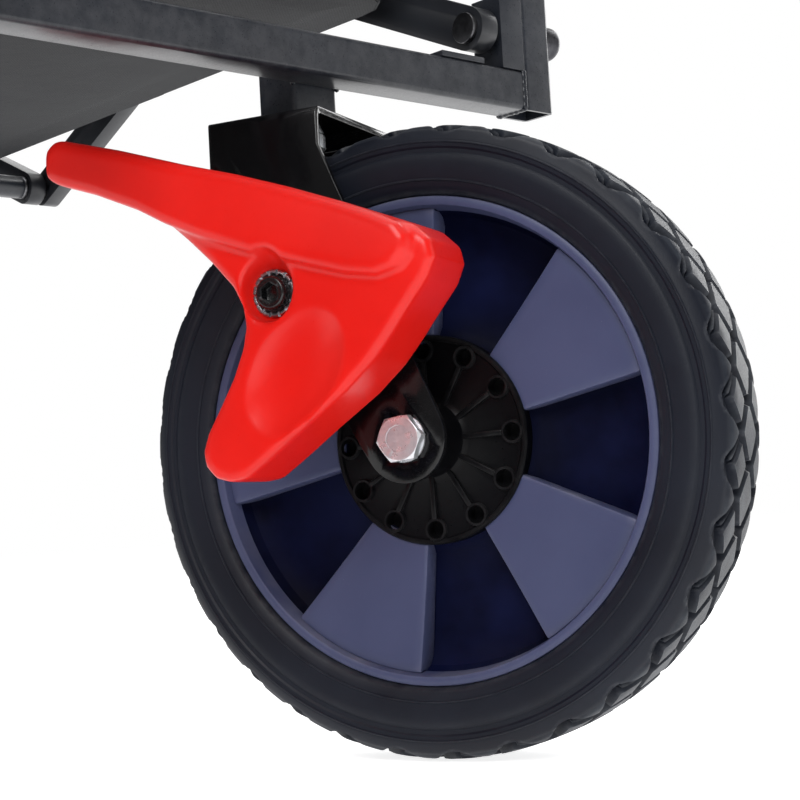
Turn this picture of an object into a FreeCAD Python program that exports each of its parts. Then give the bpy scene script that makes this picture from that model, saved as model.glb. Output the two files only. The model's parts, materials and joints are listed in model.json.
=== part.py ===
import FreeCAD
import Part
import math
import os

# Folding garden cart, millimetres. +X is the front, +Y the cart's left, +Z up.
# The origin is on the ground, midway between the four posts of the opened cart.

V = FreeCAD.Vector
Y_AXIS = V(0, 1, 0)
Z_AXIS = V(0, 0, 1)
SIDES = {"left": 1, "right": -1}

# Overall sizes
POST_PITCH = 800.0        # front post axis to rear post axis, cart opened
CART_WIDTH = 640.0        # over the outer faces of the posts
FRAME_HEIGHT = 440.0      # length of the posts
WHEEL_R = 127.0

# Square tube of the end frames
TUBE = 18.0
TUBE_WALL = 1.6
CAP_THICK = 3.0
CAP_PLUG = 12.0
CAP_GAP = 0.05

# Fits
RUN_GAP = 0.05            # radial clearance of a running fit
SLIDE_GAP = 0.2           # clearance of a slider on its post
OPEN_PIVOT_GAP = 0.3      # radial clearance at the pivot where the linkage is opened
AIR = 0.1                 # gap between faces that turn past each other

# Scissor arms: flat tubes in two planes inside the posts
ARM_RISE = 183.3          # a slider's stud above a foot pin, cart opened
ARM_HEIGHT = 20.0
ARM_THICK = 10.0
ARM_WALL = 1.5
ARM_POST_GAP = 4.0
ARM_PLANE_GAP = 3.0
PIN_RISE = 36.0           # foot pins above the underside of the rails
PIN_R = 4.0
PIN_HEAD_R = 7.0
PIN_HEAD = 2.6
FOOT_CAP_R = 8.0
FOOT_CAP_LENGTH = 11.0
FOOT_CAP_ROUND = 4.0
FOOT_TUBE_TOP = 16.0      # the foot tubes rise this far above the pins
FOOT_TUBE_WALL = 1.6
CROSS_BAR_R = 7.0
CROSS_BAR_WALL = 1.2

# Sliders on the posts
SLIDER_WALL = 3.0
SLIDER_HEIGHT = 28.0

# Wheels
TYRE_DEPTH = 29.6         # tread to rim
TYRE_HALF = 24.0
TYRE_BEAD = 5.0           # height of the bead, of the lower sidewall and of the shoulder
TYRE_LOW_SIDE = 14.0
TYRE_SHOULDER = 4.0
TYRE_BEAD_SET = 1.5       # the bead and the shoulder stand in from the sidewall
TYRE_SHOULDER_SET = 0.5
TREAD_HALF = 21.0
TREAD_CROWN = 2.4
TREAD_SHOULDER = 5.5      # shoulder below the tread
RIM_LIP_HALF = 20.0
RIM_BARREL = 6.5
WEB_HALF = 3.5
PANEL_HALF = 12.0
PANEL_COUNT = 5
PANEL_ANGLE = 37.0
PANEL_FIRST = 30.7        # middle of the first fan above the level line
PANEL_LAP = 2.0           # the fans run this far into the disc and the barrel
HUB_DISC_R = 42.0
HUB_DISC_HALF = 13.5
HUB_BOSS_R = 14.0
LOCK_HOLES = 12
LOCK_HOLE_R = 3.6
LOCK_HOLE_DEPTH = 6.0

# Wheel axle: hexagon bolt and nut
AXLE_R = 5.0
AXLE_HEX = 17.0           # across the flats
AXLE_HEAD = 5.3
AXLE_NUT = 8.0
AXLE_TAIL = 4.0
BUSH_R = 8.0
BUSH_LENGTH = 22.0
HUB_END_GAP = 1.0         # hub to fork leg

# Swivel forks of folded sheet
FORK_SHEET = 3.0
FORK_INSIDE = 67.0
FORK_CROWN_GAP = 10.0     # tread to the crown's top face
FORK_FRONT = 24.6         # crown ahead of the swivel axis, away from the wheel
FORK_BACK = 27.7          # crown behind the swivel axis, towards the wheel
FORK_TRAIL = 59.0         # swivel axis to axle
FORK_FRONT_DROP = 25.0    # the edges start to slant this far below the crown's top
FORK_BACK_DROP = 16.0
FORK_FOOT_R = 17.4
FORK_ROUND = 4.0
CASTER_INSET = 120.0      # swivel axis to the nearest post's axis, across the cart
STEM = 24.0
STEM_WALL = 2.0
STEM_GAP = 2.0            # crown to the stem's lower end
STEM_SHOWN = 16.0         # crown to the rail's underside
KINGPIN_R = 6.0
KINGPIN_HEAD_R = 11.0
KINGPIN_HEAD = 6.0
LEFT_YAW = 22.0           # direction of each caster's trail at rest
RIGHT_YAW = 9.0

# Brake pedal and its lock pin
PEDAL_PIVOT = (-35.0, 57.5)   # from the axle, in the wheel's plane
PEDAL_GAP = 7.5               # fork leg to the pedal's back
PEDAL_WEB_THICK = 33.0
PEDAL_FACE_THICK = 38.0
PEDAL_BOSS_R = 13.0
PEDAL_BOSS_GAP = 0.3
PEDAL_RECESS_R = 11.0
PEDAL_SEAT = 25.0             # the recess's floor from the pedal's back
PEDAL_POCKET_R = 13.0
PEDAL_POCKET_DEPTH = 5.0
PEDAL_BOLT_HEAD_R = 6.6
PEDAL_BOLT_HEAD = 5.0
PEDAL_WASHER_R = 9.0
PEDAL_WASHER = 1.6
LOCK_PIN_R = 3.0
LOCK_PIN_CIRCLE = 36.0        # lock pin's distance from the axle
LOCK_PIN_CLEAR = 2.0          # tip to the hub disc, brake off
LOCK_PIN_HEAD_R = 5.0
LOCK_PIN_HEAD = 2.5
LOCK_PIN_STANDOFF = 6.0
PEDAL_OUTLINE = [
    (-133.0, 113.0), (-132.5, 125.5), (-127.0, 129.5), (-68.0, 111.0), (-23.0, 96.5),
    (0.0, 87.5), (24.0, 78.0), (33.5, 69.5), (34.4, 62.0), (22.0, 44.8), (15.5, 36.4),
    (7.5, 27.4), (-4.0, 17.8), (-22.5, 5.4), (-37.5, -5.2), (-48.5, -12.6), (-61.5, -12.0),
    (-66.8, -7.0), (-67.4, -0.8), (-64.6, 6.2), (-59.0, 15.0), (-52.0, 26.6), (-47.4, 37.2),
    (-45.6, 45.4), (-46.4, 52.6), (-50.2, 60.8), (-59.4, 71.4), (-69.4, 81.2), (-78.0, 89.0),
    (-90.0, 96.0), (-110.0, 104.5),
]
PEDAL_BAR = [
    (-133.0, 113.0), (-132.5, 125.5), (-127.0, 129.5), (-68.0, 111.0), (-23.0, 96.5),
    (0.0, 87.5), (24.0, 78.0), (31.5, 69.0), (26.0, 60.0), (12.0, 56.5), (-15.0, 65.0),
    (-41.0, 72.5), (-61.0, 79.5), (-78.0, 89.0), (-90.0, 96.0), (-110.0, 104.5),
]

# Rear forks, fixed under the rear rail
REAR_WHEEL_INSET = 31.0   # wheel's middle plane from the post's axis
REAR_FORK_LENGTH = 46.0

# Pull handle
HANDLE_STANDOFF = 20.0    # handle axis ahead of the front faces
HANDLE_R = 11.0
HANDLE_WALL = 2.0
HANDLE_FOOT = 11.0
HANDLE_ABOVE = 30.0       # outer tube above the posts' tops
COLLAR_R = 14.0
COLLAR_LENGTH = 34.0
COLLAR_LAP = 24.0
SLIDE_TUBE_WALL = 1.5
SLIDE_TUBE_LENGTH = 460.0
SLIDE_TUBE_ABOVE = 50.0   # slide tube above the outer tube, pushed in
GRIP_R = 15.0
GRIP_HALF = 62.0
GRIP_NECK = 40.0
EAR_THICK = 3.0
EAR_GAP = 0.6
EAR_REACH = 13.0

# Plate on each front corner, and the fabric tub
PLATE_THICK = 2.5
PLATE_WIDTH = 26.0
PLATE_DEPTH = 24.0        # behind the rail
PLATE_INSET = 26.0
TUB_GAP = 8.0             # between the tub and the posts, and the arms' pins
TUB_WALL = 3.0
TUB_BAR_GAP = 3.0         # cross bar to the tub's floor
TUB_BELOW_TOP = 6.0

# Worked out from the sizes above
RIM_R = WHEEL_R - TYRE_DEPTH
SHOULDER_R = WHEEL_R - TREAD_SHOULDER
FORK_TOP = WHEEL_R + FORK_CROWN_GAP
FORK_FRONT_BEND = FORK_TOP - FORK_FRONT_DROP
FORK_BACK_BEND = FORK_TOP - FORK_BACK_DROP
FRAME_BOTTOM = WHEEL_R + FORK_TOP + STEM_SHOWN
FRAME_TOP = FRAME_BOTTOM + FRAME_HEIGHT
POST_X = POST_PITCH / 2
POST_Y = (CART_WIDTH - TUBE) / 2
POST_FACE = POST_Y - TUBE / 2
RAIL_Z = FRAME_BOTTOM + TUBE / 2
TOP_RAIL_Z = FRAME_TOP - TUBE / 2
PIN_Z = FRAME_BOTTOM + PIN_RISE
ARM_SPAN = POST_PITCH / 2
ARM_LENGTH = math.hypot(ARM_SPAN, ARM_RISE)
OUTER_PLANE = (POST_FACE - ARM_POST_GAP - ARM_THICK, POST_FACE - ARM_POST_GAP)
INNER_PLANE = (OUTER_PLANE[0] - ARM_PLANE_GAP - ARM_THICK, OUTER_PLANE[0] - ARM_PLANE_GAP)
FORK_HALF = FORK_INSIDE / 2 + FORK_SHEET
HUB_END = FORK_INSIDE / 2 - HUB_END_GAP
PEDAL_BACK = FORK_HALF + PEDAL_GAP
PEDAL_WEB = PEDAL_BACK + PEDAL_WEB_THICK
PEDAL_FACE = PEDAL_BACK + PEDAL_FACE_THICK
PEDAL_RECESS_FLOOR = PEDAL_BACK + PEDAL_SEAT
LOCK_PIN_TIP = HUB_DISC_HALF + LOCK_PIN_CLEAR
SWIVEL_X = POST_X - TUBE / 2 - STEM / 2
SWIVEL_Y = POST_Y - CASTER_INSET
REAR_WHEEL_Y = POST_Y - REAR_WHEEL_INSET
HANDLE_X = POST_X + TUBE / 2 + HANDLE_STANDOFF
HANDLE_TOP = FRAME_TOP + HANDLE_ABOVE
SLIDE_TUBE_TOP = HANDLE_TOP + SLIDE_TUBE_ABOVE
SLIDE_TUBE_FOOT = SLIDE_TUBE_TOP - SLIDE_TUBE_LENGTH
TUB_FLOOR_Z = PIN_Z + CROSS_BAR_R + TUB_BAR_GAP
TUB_TOP_Z = FRAME_TOP - TUB_BELOW_TOP
LOCK_SCALE = LOCK_PIN_CIRCLE / math.hypot(*PEDAL_PIVOT)
LOCK_PIN = (PEDAL_PIVOT[0] * LOCK_SCALE, PEDAL_PIVOT[1] * LOCK_SCALE)


def box(low, high):
    """A box from its lowest to its highest corner."""
    size = [b - a for a, b in zip(low, high)]
    return Part.makeBox(size[0], size[1], size[2], V(*low))


def rod(radius, start, end):
    """A round bar from start to end."""
    line = V(*end) - V(*start)
    return Part.makeCylinder(radius, line.Length, V(*start), line)


def square_bar(side, start, end):
    """A square bar along one axis, its faces square to the cart."""
    half = [0 if a != b else side / 2 for a, b in zip(start, end)]
    low = [min(a, b) - h for a, b, h in zip(start, end, half)]
    high = [max(a, b) + h for a, b, h in zip(start, end, half)]
    return box(low, high)


def square_tube(side, wall, start, end):
    """A square tube along one axis, open at both ends."""
    outer = square_bar(side, start, end)
    return outer.cut(square_bar(side - 2 * wall, start, end))


def hexagon(across, low, high):
    """A hexagon prism about the Y axis between two Y values."""
    corner = across / math.sqrt(3)
    points = [V(corner * math.cos(math.radians(60 * k)), low, corner * math.sin(math.radians(60 * k)))
              for k in range(7)]
    return Part.Face(Part.makePolygon(points)).extrude(V(0, high - low, 0))


def plate(outline, near, far):
    """An outline of (x, z) points, extruded along Y from near to far."""
    points = [V(x, near, z) for x, z in outline]
    face = Part.Face(Part.makePolygon(points + points[:1]))
    return face.extrude(V(0, far - near, 0))


def turned(section):
    """A section of (radius, y) points, turned about the Y axis."""
    points = [V(r, y, 0) for r, y in section]
    face = Part.Face(Part.makePolygon(points + points[:1]))
    return face.revolve(V(0, 0, 0), Y_AXIS, 360)


def mirrored(shape):
    """The same shape on the other side of the cart's middle plane."""
    return shape.mirror(V(0, 0, 0), Y_AXIS)


def both_sides(shape):
    """A shape on the left and its mirror image on the right, as separate solids."""
    return Part.makeCompound([shape, mirrored(shape)])


def on_side(shape, side):
    """A left-hand shape, or its mirror image."""
    return shape if side == "left" else mirrored(shape)


# End frames

def bottom_rail(x):
    return square_tube(TUBE, TUBE_WALL, (x, -POST_FACE, RAIL_Z), (x, POST_FACE, RAIL_Z))


def top_rail(x):
    return square_tube(TUBE, TUBE_WALL, (x, -POST_FACE, TOP_RAIL_Z), (x, POST_FACE, TOP_RAIL_Z))


def posts(x):
    post = square_tube(TUBE, TUBE_WALL, (x, POST_Y, FRAME_BOTTOM), (x, POST_Y, FRAME_TOP))
    hole = rod(PIN_R, (x, POST_FACE - TUBE, PIN_Z), (x, POST_Y + TUBE, PIN_Z))
    return both_sides(post.cut(hole))


def post_caps(x):
    inner = TUBE - 2 * TUBE_WALL - 2 * CAP_GAP
    lid = square_bar(TUBE, (x, POST_Y, FRAME_TOP), (x, POST_Y, FRAME_TOP + CAP_THICK))
    plug = square_bar(inner, (x, POST_Y, FRAME_TOP - CAP_PLUG), (x, POST_Y, FRAME_TOP))
    return both_sides(lid.fuse(plug).removeSplitter())


def foot_bolts(x, plane, seat):
    """Bolts through the posts' feet; each carries a lower arm, spaced off the seat behind it."""
    outer = POST_Y + TUBE / 2
    cap = rod(FOOT_CAP_R, (x, outer, PIN_Z), (x, outer + FOOT_CAP_LENGTH, PIN_Z))
    far_edge = max(cap.Edges, key=lambda e: e.BoundBox.YMin)
    cap = cap.makeFillet(FOOT_CAP_ROUND, [far_edge])
    shank = rod(PIN_R, (x, plane[0] - AIR, PIN_Z), (x, outer, PIN_Z))
    head = rod(PIN_HEAD_R, (x, plane[0] - AIR - PIN_HEAD, PIN_Z), (x, plane[0] - AIR, PIN_Z))
    collar = rod(PIN_HEAD_R, (x, plane[1] + AIR, PIN_Z), (x, seat, PIN_Z))
    return both_sides(cap.fuse([shank, head, collar]).removeSplitter())


def corner_brackets():
    """Welded on the front rail's top face: a foot tube beside each post, and a flat plate."""
    z = FRAME_BOTTOM + TUBE
    front = POST_X + TUBE / 2
    back = POST_X - TUBE / 2
    tube = box((back, OUTER_PLANE[0], z), (front, POST_FACE, PIN_Z + FOOT_TUBE_TOP))
    wall = FOOT_TUBE_WALL
    tube = tube.cut(box((back + wall, OUTER_PLANE[0] + wall, z - 1),
                        (front - wall, POST_FACE - wall, PIN_Z + FOOT_TUBE_TOP + 1)))
    tube = tube.cut(rod(PIN_R, (POST_X, OUTER_PLANE[0] - 1, PIN_Z), (POST_X, POST_FACE + 1, PIN_Z)))
    y = POST_FACE - PLATE_INSET
    flat = box((back - PLATE_DEPTH, y - PLATE_WIDTH, z), (front, y, z + PLATE_THICK))
    return Part.makeCompound([tube, mirrored(tube), flat, mirrored(flat)])


def caster_stems():
    low = WHEEL_R + FORK_TOP + STEM_GAP
    top = FRAME_BOTTOM + TUBE
    stem = square_tube(STEM, STEM_WALL, (SWIVEL_X, SWIVEL_Y, low), (SWIVEL_X, SWIVEL_Y, top))
    return both_sides(stem)


def stem_bushes():
    low = WHEEL_R + FORK_TOP + STEM_GAP
    top = FRAME_BOTTOM + TUBE
    side = STEM - 2 * STEM_WALL
    block = square_bar(side, (SWIVEL_X, SWIVEL_Y, low), (SWIVEL_X, SWIVEL_Y, top))
    bore = rod(KINGPIN_R + RUN_GAP, (SWIVEL_X, SWIVEL_Y, low - 1), (SWIVEL_X, SWIVEL_Y, top + 1))
    return both_sides(block.cut(bore))


# Scissor arms

def arm(start, end, plane, holes):
    """A flat tube with round ends; holes are (share of the length, radius)."""
    sx, sz = start
    angle = math.degrees(math.atan2(end[1] - sz, end[0] - sx))
    body = stadium(ARM_HEIGHT / 2, 0)
    body = body.cut(stadium(ARM_HEIGHT / 2 - ARM_WALL, ARM_WALL))
    for share, radius in holes:
        along = share * ARM_LENGTH
        body = body.cut(rod(radius, (along, -1, 0), (along, ARM_THICK + 1, 0)))
    body.rotate(V(0, 0, 0), Y_AXIS, -angle)
    body.translate(V(sx, plane[0], sz))
    return body


def stadium(radius, inset):
    """A round-ended bar along X from the origin, one arm long."""
    low = inset
    high = ARM_THICK - inset
    bar = box((0, low, -radius), (ARM_LENGTH, high, radius))
    first = rod(radius, (0, low, 0), (0, high, 0))
    last = rod(radius, (ARM_LENGTH, low, 0), (ARM_LENGTH, high, 0))
    return bar.fuse([first, last]).removeSplitter()


def arm_nodes():
    """Four arms a side: lower arms start at the posts' feet, upper arms at the sliders."""
    loose = PIN_R + RUN_GAP
    wide = PIN_R + OPEN_PIVOT_GAP
    top_z = PIN_Z + ARM_RISE
    shapes = {
        "front_lower_arm": arm((POST_X, PIN_Z), (0, top_z), INNER_PLANE,
                               [(0, loose), (0.5, PIN_R), (1, PIN_R)]),
        "front_upper_arm": arm((POST_X, top_z), (0, PIN_Z), OUTER_PLANE,
                               [(0, loose), (0.5, loose), (1, loose)]),
        "rear_upper_arm": arm((-POST_X, top_z), (0, PIN_Z), INNER_PLANE,
                              [(0, loose), (0.5, PIN_R), (1, PIN_R)]),
        "rear_lower_arm": arm((-POST_X, PIN_Z), (0, top_z), OUTER_PLANE,
                              [(0, loose), (0.5, loose), (1, wide)]),
    }
    return {side + "_" + name: on_side(shape, side)
            for side in SIDES for name, shape in shapes.items()}


def cross_pin(x, z):
    """A rivet through both planes, with a head, a spacer and a nut."""
    outer = OUTER_PLANE[1]
    inner = INNER_PLANE[0] - AIR
    shank = rod(PIN_R, (x, inner, z), (x, outer, z))
    head = rod(PIN_HEAD_R, (x, outer, z), (x, outer + PIN_HEAD, z))
    spacer = rod(PIN_HEAD_R, (x, INNER_PLANE[1] + AIR, z), (x, OUTER_PLANE[0], z))
    nut = rod(PIN_HEAD_R, (x, inner - PIN_HEAD, z), (x, inner, z))
    return shank.fuse([head, spacer, nut]).removeSplitter()


def front_arm_pins():
    """Rivets that ride with the front lower arms: middle crossing and middle top."""
    middle = cross_pin(POST_X / 2, PIN_Z + ARM_RISE / 2)
    top = cross_pin(0, PIN_Z + ARM_RISE)
    return Part.makeCompound([middle, top, mirrored(middle), mirrored(top)])


def rear_arm_pins():
    """Rivets that ride with the rear upper arms: middle crossing and middle bottom."""
    middle = cross_pin(-POST_X / 2, PIN_Z + ARM_RISE / 2)
    bottom = cross_pin(0, PIN_Z)
    return Part.makeCompound([middle, bottom, mirrored(middle), mirrored(bottom)])


def cross_bar():
    """The tube under the tub that ties the two sides at the middle bottom pivots."""
    end = INNER_PLANE[0] - AIR - PIN_HEAD
    tube = rod(CROSS_BAR_R, (0, -end, PIN_Z), (0, end, PIN_Z))
    return tube.cut(rod(CROSS_BAR_R - CROSS_BAR_WALL, (0, -end - 1, PIN_Z), (0, end + 1, PIN_Z)))


def sliders(x, plane):
    """Plastic sleeves on the posts, each with a stud for an upper arm."""
    z = PIN_Z + ARM_RISE
    bore = TUBE + 2 * SLIDE_GAP
    low = (x, POST_Y, z - SLIDER_HEIGHT / 2)
    high = (x, POST_Y, z + SLIDER_HEIGHT / 2)
    sleeve = square_bar(bore + 2 * SLIDER_WALL, low, high).cut(square_bar(bore, low, high))
    face = POST_Y - bore / 2 - SLIDER_WALL
    stud = rod(PIN_R, (x, plane[0] - AIR - PIN_HEAD, z), (x, face, z))
    head = rod(PIN_HEAD_R, (x, plane[0] - AIR - PIN_HEAD, z), (x, plane[0] - AIR, z))
    collar = rod(PIN_HEAD_R, (x, plane[1] + AIR, z), (x, face, z))
    return both_sides(sleeve.fuse([stud, head, collar]).removeSplitter())


# Wheels, about the Y axis at the origin

def tyre():
    side = [
        (RIM_R, RIM_LIP_HALF), (RIM_R + TYRE_BEAD, TYRE_HALF - TYRE_BEAD_SET),
        (RIM_R + TYRE_LOW_SIDE, TYRE_HALF), (SHOULDER_R - TYRE_SHOULDER, TYRE_HALF - TYRE_SHOULDER_SET),
        (SHOULDER_R, (TYRE_HALF + TREAD_HALF) / 2), (WHEEL_R - TREAD_CROWN, TREAD_HALF),
        (WHEEL_R, TREAD_HALF / 2),
    ]
    return turned([(r, -y) for r, y in side] + [(r, y) for r, y in reversed(side)])


def ring(inner, outer, half):
    return turned([(inner, -half), (outer, -half), (outer, half), (inner, half)])


def fan_panel(start):
    """One raised fan of the rim's web, between the hub disc and the barrel."""
    inner = HUB_DISC_R - PANEL_LAP
    outer = RIM_R - RIM_BARREL + PANEL_LAP
    points = [V(inner, -PANEL_HALF, 0), V(outer, -PANEL_HALF, 0), V(outer, PANEL_HALF, 0),
              V(inner, PANEL_HALF, 0), V(inner, -PANEL_HALF, 0)]
    fan = Part.Face(Part.makePolygon(points)).revolve(V(0, 0, 0), Y_AXIS, PANEL_ANGLE)
    fan.rotate(V(0, 0, 0), Y_AXIS, start)
    return fan


def rim(bore):
    """One moulding: hub, hub disc with lock holes, web with five fans, and barrel."""
    barrel = ring(RIM_R - RIM_BARREL, RIM_R, RIM_LIP_HALF)
    web = ring(HUB_DISC_R - PANEL_LAP, RIM_R - RIM_BARREL + PANEL_LAP, WEB_HALF)
    disc = ring(bore, HUB_DISC_R, HUB_DISC_HALF)
    boss = ring(bore, HUB_BOSS_R, HUB_END)
    start = PANEL_FIRST + PANEL_ANGLE / 2
    fans = [fan_panel(k * 360.0 / PANEL_COUNT - start) for k in range(PANEL_COUNT)]
    body = barrel.fuse([web, disc, boss] + fans).removeSplitter()
    first = math.atan2(LOCK_PIN[1], LOCK_PIN[0])
    for k in range(LOCK_HOLES):
        angle = first + 2 * math.pi * k / LOCK_HOLES
        x = LOCK_PIN_CIRCLE * math.cos(angle)
        z = LOCK_PIN_CIRCLE * math.sin(angle)
        floor = HUB_DISC_HALF - LOCK_HOLE_DEPTH
        body = body.cut(rod(LOCK_HOLE_R, (x, -HUB_DISC_HALF - 1, z), (x, -floor, z)))
    return body


def bushes():
    """Two plain bearings in the hub."""
    bore = AXLE_R + RUN_GAP
    near = HUB_END - BUSH_LENGTH
    one = turned([(bore, near), (BUSH_R, near), (BUSH_R, HUB_END), (bore, HUB_END)])
    return both_sides(one)


def axle_bolt():
    """Bolt along Y; its head is on the side of negative Y, where the brake pedal is."""
    shank = rod(AXLE_R, (0, -FORK_HALF, 0), (0, FORK_HALF + AXLE_NUT + AXLE_TAIL, 0))
    head = hexagon(AXLE_HEX, -FORK_HALF - AXLE_HEAD, -FORK_HALF)
    return head.fuse(shank).removeSplitter()


def axle_nut():
    nut = hexagon(AXLE_HEX, FORK_HALF, FORK_HALF + AXLE_NUT)
    return nut.cut(rod(AXLE_R, (0, FORK_HALF - 1, 0), (0, FORK_HALF + AXLE_NUT + 1, 0)))


# Casters: drawn with the axle at the origin and the pedal on the side of negative Y

def slanted_leg(front, back):
    """Side view of the fork: crown at the top, slanted legs, round foot about the axle."""
    start = (front, FORK_FRONT_BEND)
    end = (back, FORK_BACK_BEND)
    low_front = tangent_point(start, -1)
    low_back = tangent_point(end, 1)
    return [(front, FORK_TOP), (back, FORK_TOP), end, low_back, low_front, start]


def tangent_point(point, side):
    """Where a line from the point touches the round foot, on the given side."""
    distance = math.hypot(*point)
    direction = math.atan2(point[1], point[0])
    turn = math.acos(FORK_FOOT_R / distance)
    angle = direction - side * turn
    return (FORK_FOOT_R * math.cos(angle), FORK_FOOT_R * math.sin(angle))


def fork():
    front = -FORK_TRAIL - FORK_FRONT
    back = -FORK_TRAIL + FORK_BACK
    shell = plate(slanted_leg(front, back), -FORK_HALF, FORK_HALF)
    foot = rod(FORK_FOOT_R, (0, -FORK_HALF, 0), (0, FORK_HALF, 0))
    shell = shell.fuse(foot).removeSplitter()
    shell = shell.makeFillet(FORK_ROUND, fork_bends(shell, front))
    inside = box((front + FORK_SHEET, -FORK_INSIDE / 2, -2 * FORK_FOOT_R),
                 (2 * FORK_FOOT_R, FORK_INSIDE / 2, FORK_TOP - FORK_SHEET))
    body = shell.cut(inside)
    holes = [
        rod(AXLE_R, (0, -FORK_HALF - 1, 0), (0, FORK_HALF + 1, 0)),
        rod(KINGPIN_R, (-FORK_TRAIL, 0, FORK_TOP - 2 * FORK_SHEET), (-FORK_TRAIL, 0, FORK_TOP + 1)),
        pedal_side_rod(PIN_R, PEDAL_PIVOT, 0, FORK_HALF + 1),
        pedal_side_rod(LOCK_PIN_R + RUN_GAP, LOCK_PIN, 0, FORK_HALF + 1),
    ]
    return body.cut(holes[0]).cut(holes[1]).cut(holes[2]).cut(holes[3])


def fork_bends(shell, front):
    """The long outer edges where the sheet is folded: crown to legs, and front web to legs."""
    picked = []
    for edge in shell.Edges:
        b = edge.BoundBox
        flat_y = b.YLength < 1e-6 and abs(abs(b.YMin) - FORK_HALF) < 1e-6
        crown = b.ZMin > FORK_TOP - 1e-6
        web = abs(b.XMin - front) < 1e-6 and b.XLength < 1e-6
        if flat_y and (crown or web):
            picked.append(edge)
    return picked


def pedal_side_rod(radius, place, near, far):
    """A round bar at (x, z), between two distances out on the pedal's side."""
    return rod(radius, (place[0], -near, place[1]), (place[0], -far, place[1]))


def kingpin():
    top = FRAME_BOTTOM + TUBE - WHEEL_R
    shank = rod(KINGPIN_R, (-FORK_TRAIL, 0, FORK_TOP - FORK_SHEET), (-FORK_TRAIL, 0, top))
    low = FORK_TOP - FORK_SHEET - KINGPIN_HEAD
    head = rod(KINGPIN_HEAD_R, (-FORK_TRAIL, 0, low), (-FORK_TRAIL, 0, FORK_TOP - FORK_SHEET))
    return shank.fuse(head).removeSplitter()


def brake_pedal():
    web = plate(PEDAL_OUTLINE, -PEDAL_WEB, -PEDAL_BACK)
    bar = plate(PEDAL_BAR, -PEDAL_FACE, -PEDAL_BACK)
    boss = pedal_side_rod(PEDAL_BOSS_R, PEDAL_PIVOT, FORK_HALF + PEDAL_BOSS_GAP, PEDAL_BACK)
    body = web.fuse([bar, boss]).removeSplitter()
    body = body.cut(pedal_side_rod(PIN_R + RUN_GAP, PEDAL_PIVOT, 0, PEDAL_FACE + 1))
    body = body.cut(pedal_side_rod(PEDAL_RECESS_R, PEDAL_PIVOT, PEDAL_RECESS_FLOOR, PEDAL_FACE + 1))
    pocket_floor = PEDAL_BACK + PEDAL_POCKET_DEPTH
    return body.cut(pedal_side_rod(PEDAL_POCKET_R, LOCK_PIN, 0, pocket_floor))


def pedal_bolt():
    """Shoulder screw with its serrated washer, seated over the pedal's recess."""
    seat = PEDAL_RECESS_FLOOR + AIR
    shank = pedal_side_rod(PIN_R, PEDAL_PIVOT, FORK_INSIDE / 2, seat)
    washer = pedal_side_rod(PEDAL_WASHER_R, PEDAL_PIVOT, seat, seat + PEDAL_WASHER)
    top = seat + PEDAL_WASHER + PEDAL_BOLT_HEAD
    head = pedal_side_rod(PEDAL_BOLT_HEAD_R, PEDAL_PIVOT, seat, top)
    return shank.fuse([washer, head]).removeSplitter()


def lock_pin():
    head_at = FORK_HALF + LOCK_PIN_STANDOFF
    shank = pedal_side_rod(LOCK_PIN_R, LOCK_PIN, LOCK_PIN_TIP, head_at)
    head = pedal_side_rod(LOCK_PIN_HEAD_R, LOCK_PIN, head_at, head_at + LOCK_PIN_HEAD)
    return shank.fuse(head).removeSplitter()


def placed_caster(shape, side):
    """Moves a caster piece from its drawing position to its place at rest."""
    yaw = LEFT_YAW if side == "left" else RIGHT_YAW
    y = SWIVEL_Y if side == "left" else -SWIVEL_Y
    piece = shape.copy() if side == "left" else mirrored(shape)
    piece.translate(V(FORK_TRAIL, 0, WHEEL_R))
    piece.rotate(V(0, 0, 0), Z_AXIS, yaw)
    piece.translate(V(SWIVEL_X, y, 0))
    return piece


def caster_nodes():
    shapes = {
        "caster_fork": fork(),
        "kingpin": kingpin(),
        "axle_bolt": axle_bolt(),
        "axle_nut": axle_nut(),
        "brake_pedal": brake_pedal(),
        "pedal_bolt": pedal_bolt(),
        "lock_pin": lock_pin(),
        "front_tyre": tyre(),
        "front_rim": rim(BUSH_R),
        "wheel_bushes": bushes(),
    }
    return {side + "_" + name: placed_caster(shape, side)
            for side in SIDES for name, shape in shapes.items()}


# Rear wheels

def rear_fork():
    """A straight inverted U welded under the rear rail."""
    top = FRAME_BOTTOM - WHEEL_R
    half = REAR_FORK_LENGTH / 2
    bend = FORK_BACK_BEND
    outline = [(-half, top), (half, top), (half, bend), tangent_point((half, bend), 1),
               tangent_point((-half, bend), -1), (-half, bend)]
    shell = plate(outline, -FORK_HALF, FORK_HALF)
    shell = shell.fuse(rod(FORK_FOOT_R, (0, -FORK_HALF, 0), (0, FORK_HALF, 0))).removeSplitter()
    inside = box((-half - 1, -FORK_INSIDE / 2, -2 * FORK_FOOT_R),
                 (half + 1, FORK_INSIDE / 2, top - FORK_SHEET))
    return shell.cut(inside).cut(rod(AXLE_R, (0, -FORK_HALF - 1, 0), (0, FORK_HALF + 1, 0)))


def rear_place(shape):
    """Moves a rear wheel's piece to the left rear wheel."""
    piece = shape.copy()
    piece.translate(V(-POST_X, REAR_WHEEL_Y, WHEEL_R))
    return piece


def rear_wheel_nodes():
    outward = axle_bolt().rotate(V(0, 0, 0), Z_AXIS, 180)
    inward_nut = axle_nut().rotate(V(0, 0, 0), Z_AXIS, 180)
    nodes = {
        "rear_forks": both_sides(rear_place(rear_fork())),
        "rear_axle_bolts": both_sides(rear_place(outward)),
        "rear_axle_nuts": both_sides(rear_place(inward_nut)),
    }
    rear_rim = rim(AXLE_R + RUN_GAP).rotate(V(0, 0, 0), Z_AXIS, 180)
    for side in SIDES:
        nodes[side + "_rear_tyre"] = on_side(rear_place(tyre()), side)
        nodes[side + "_rear_rim"] = on_side(rear_place(rear_rim), side)
    return nodes


# Pull handle

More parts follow.
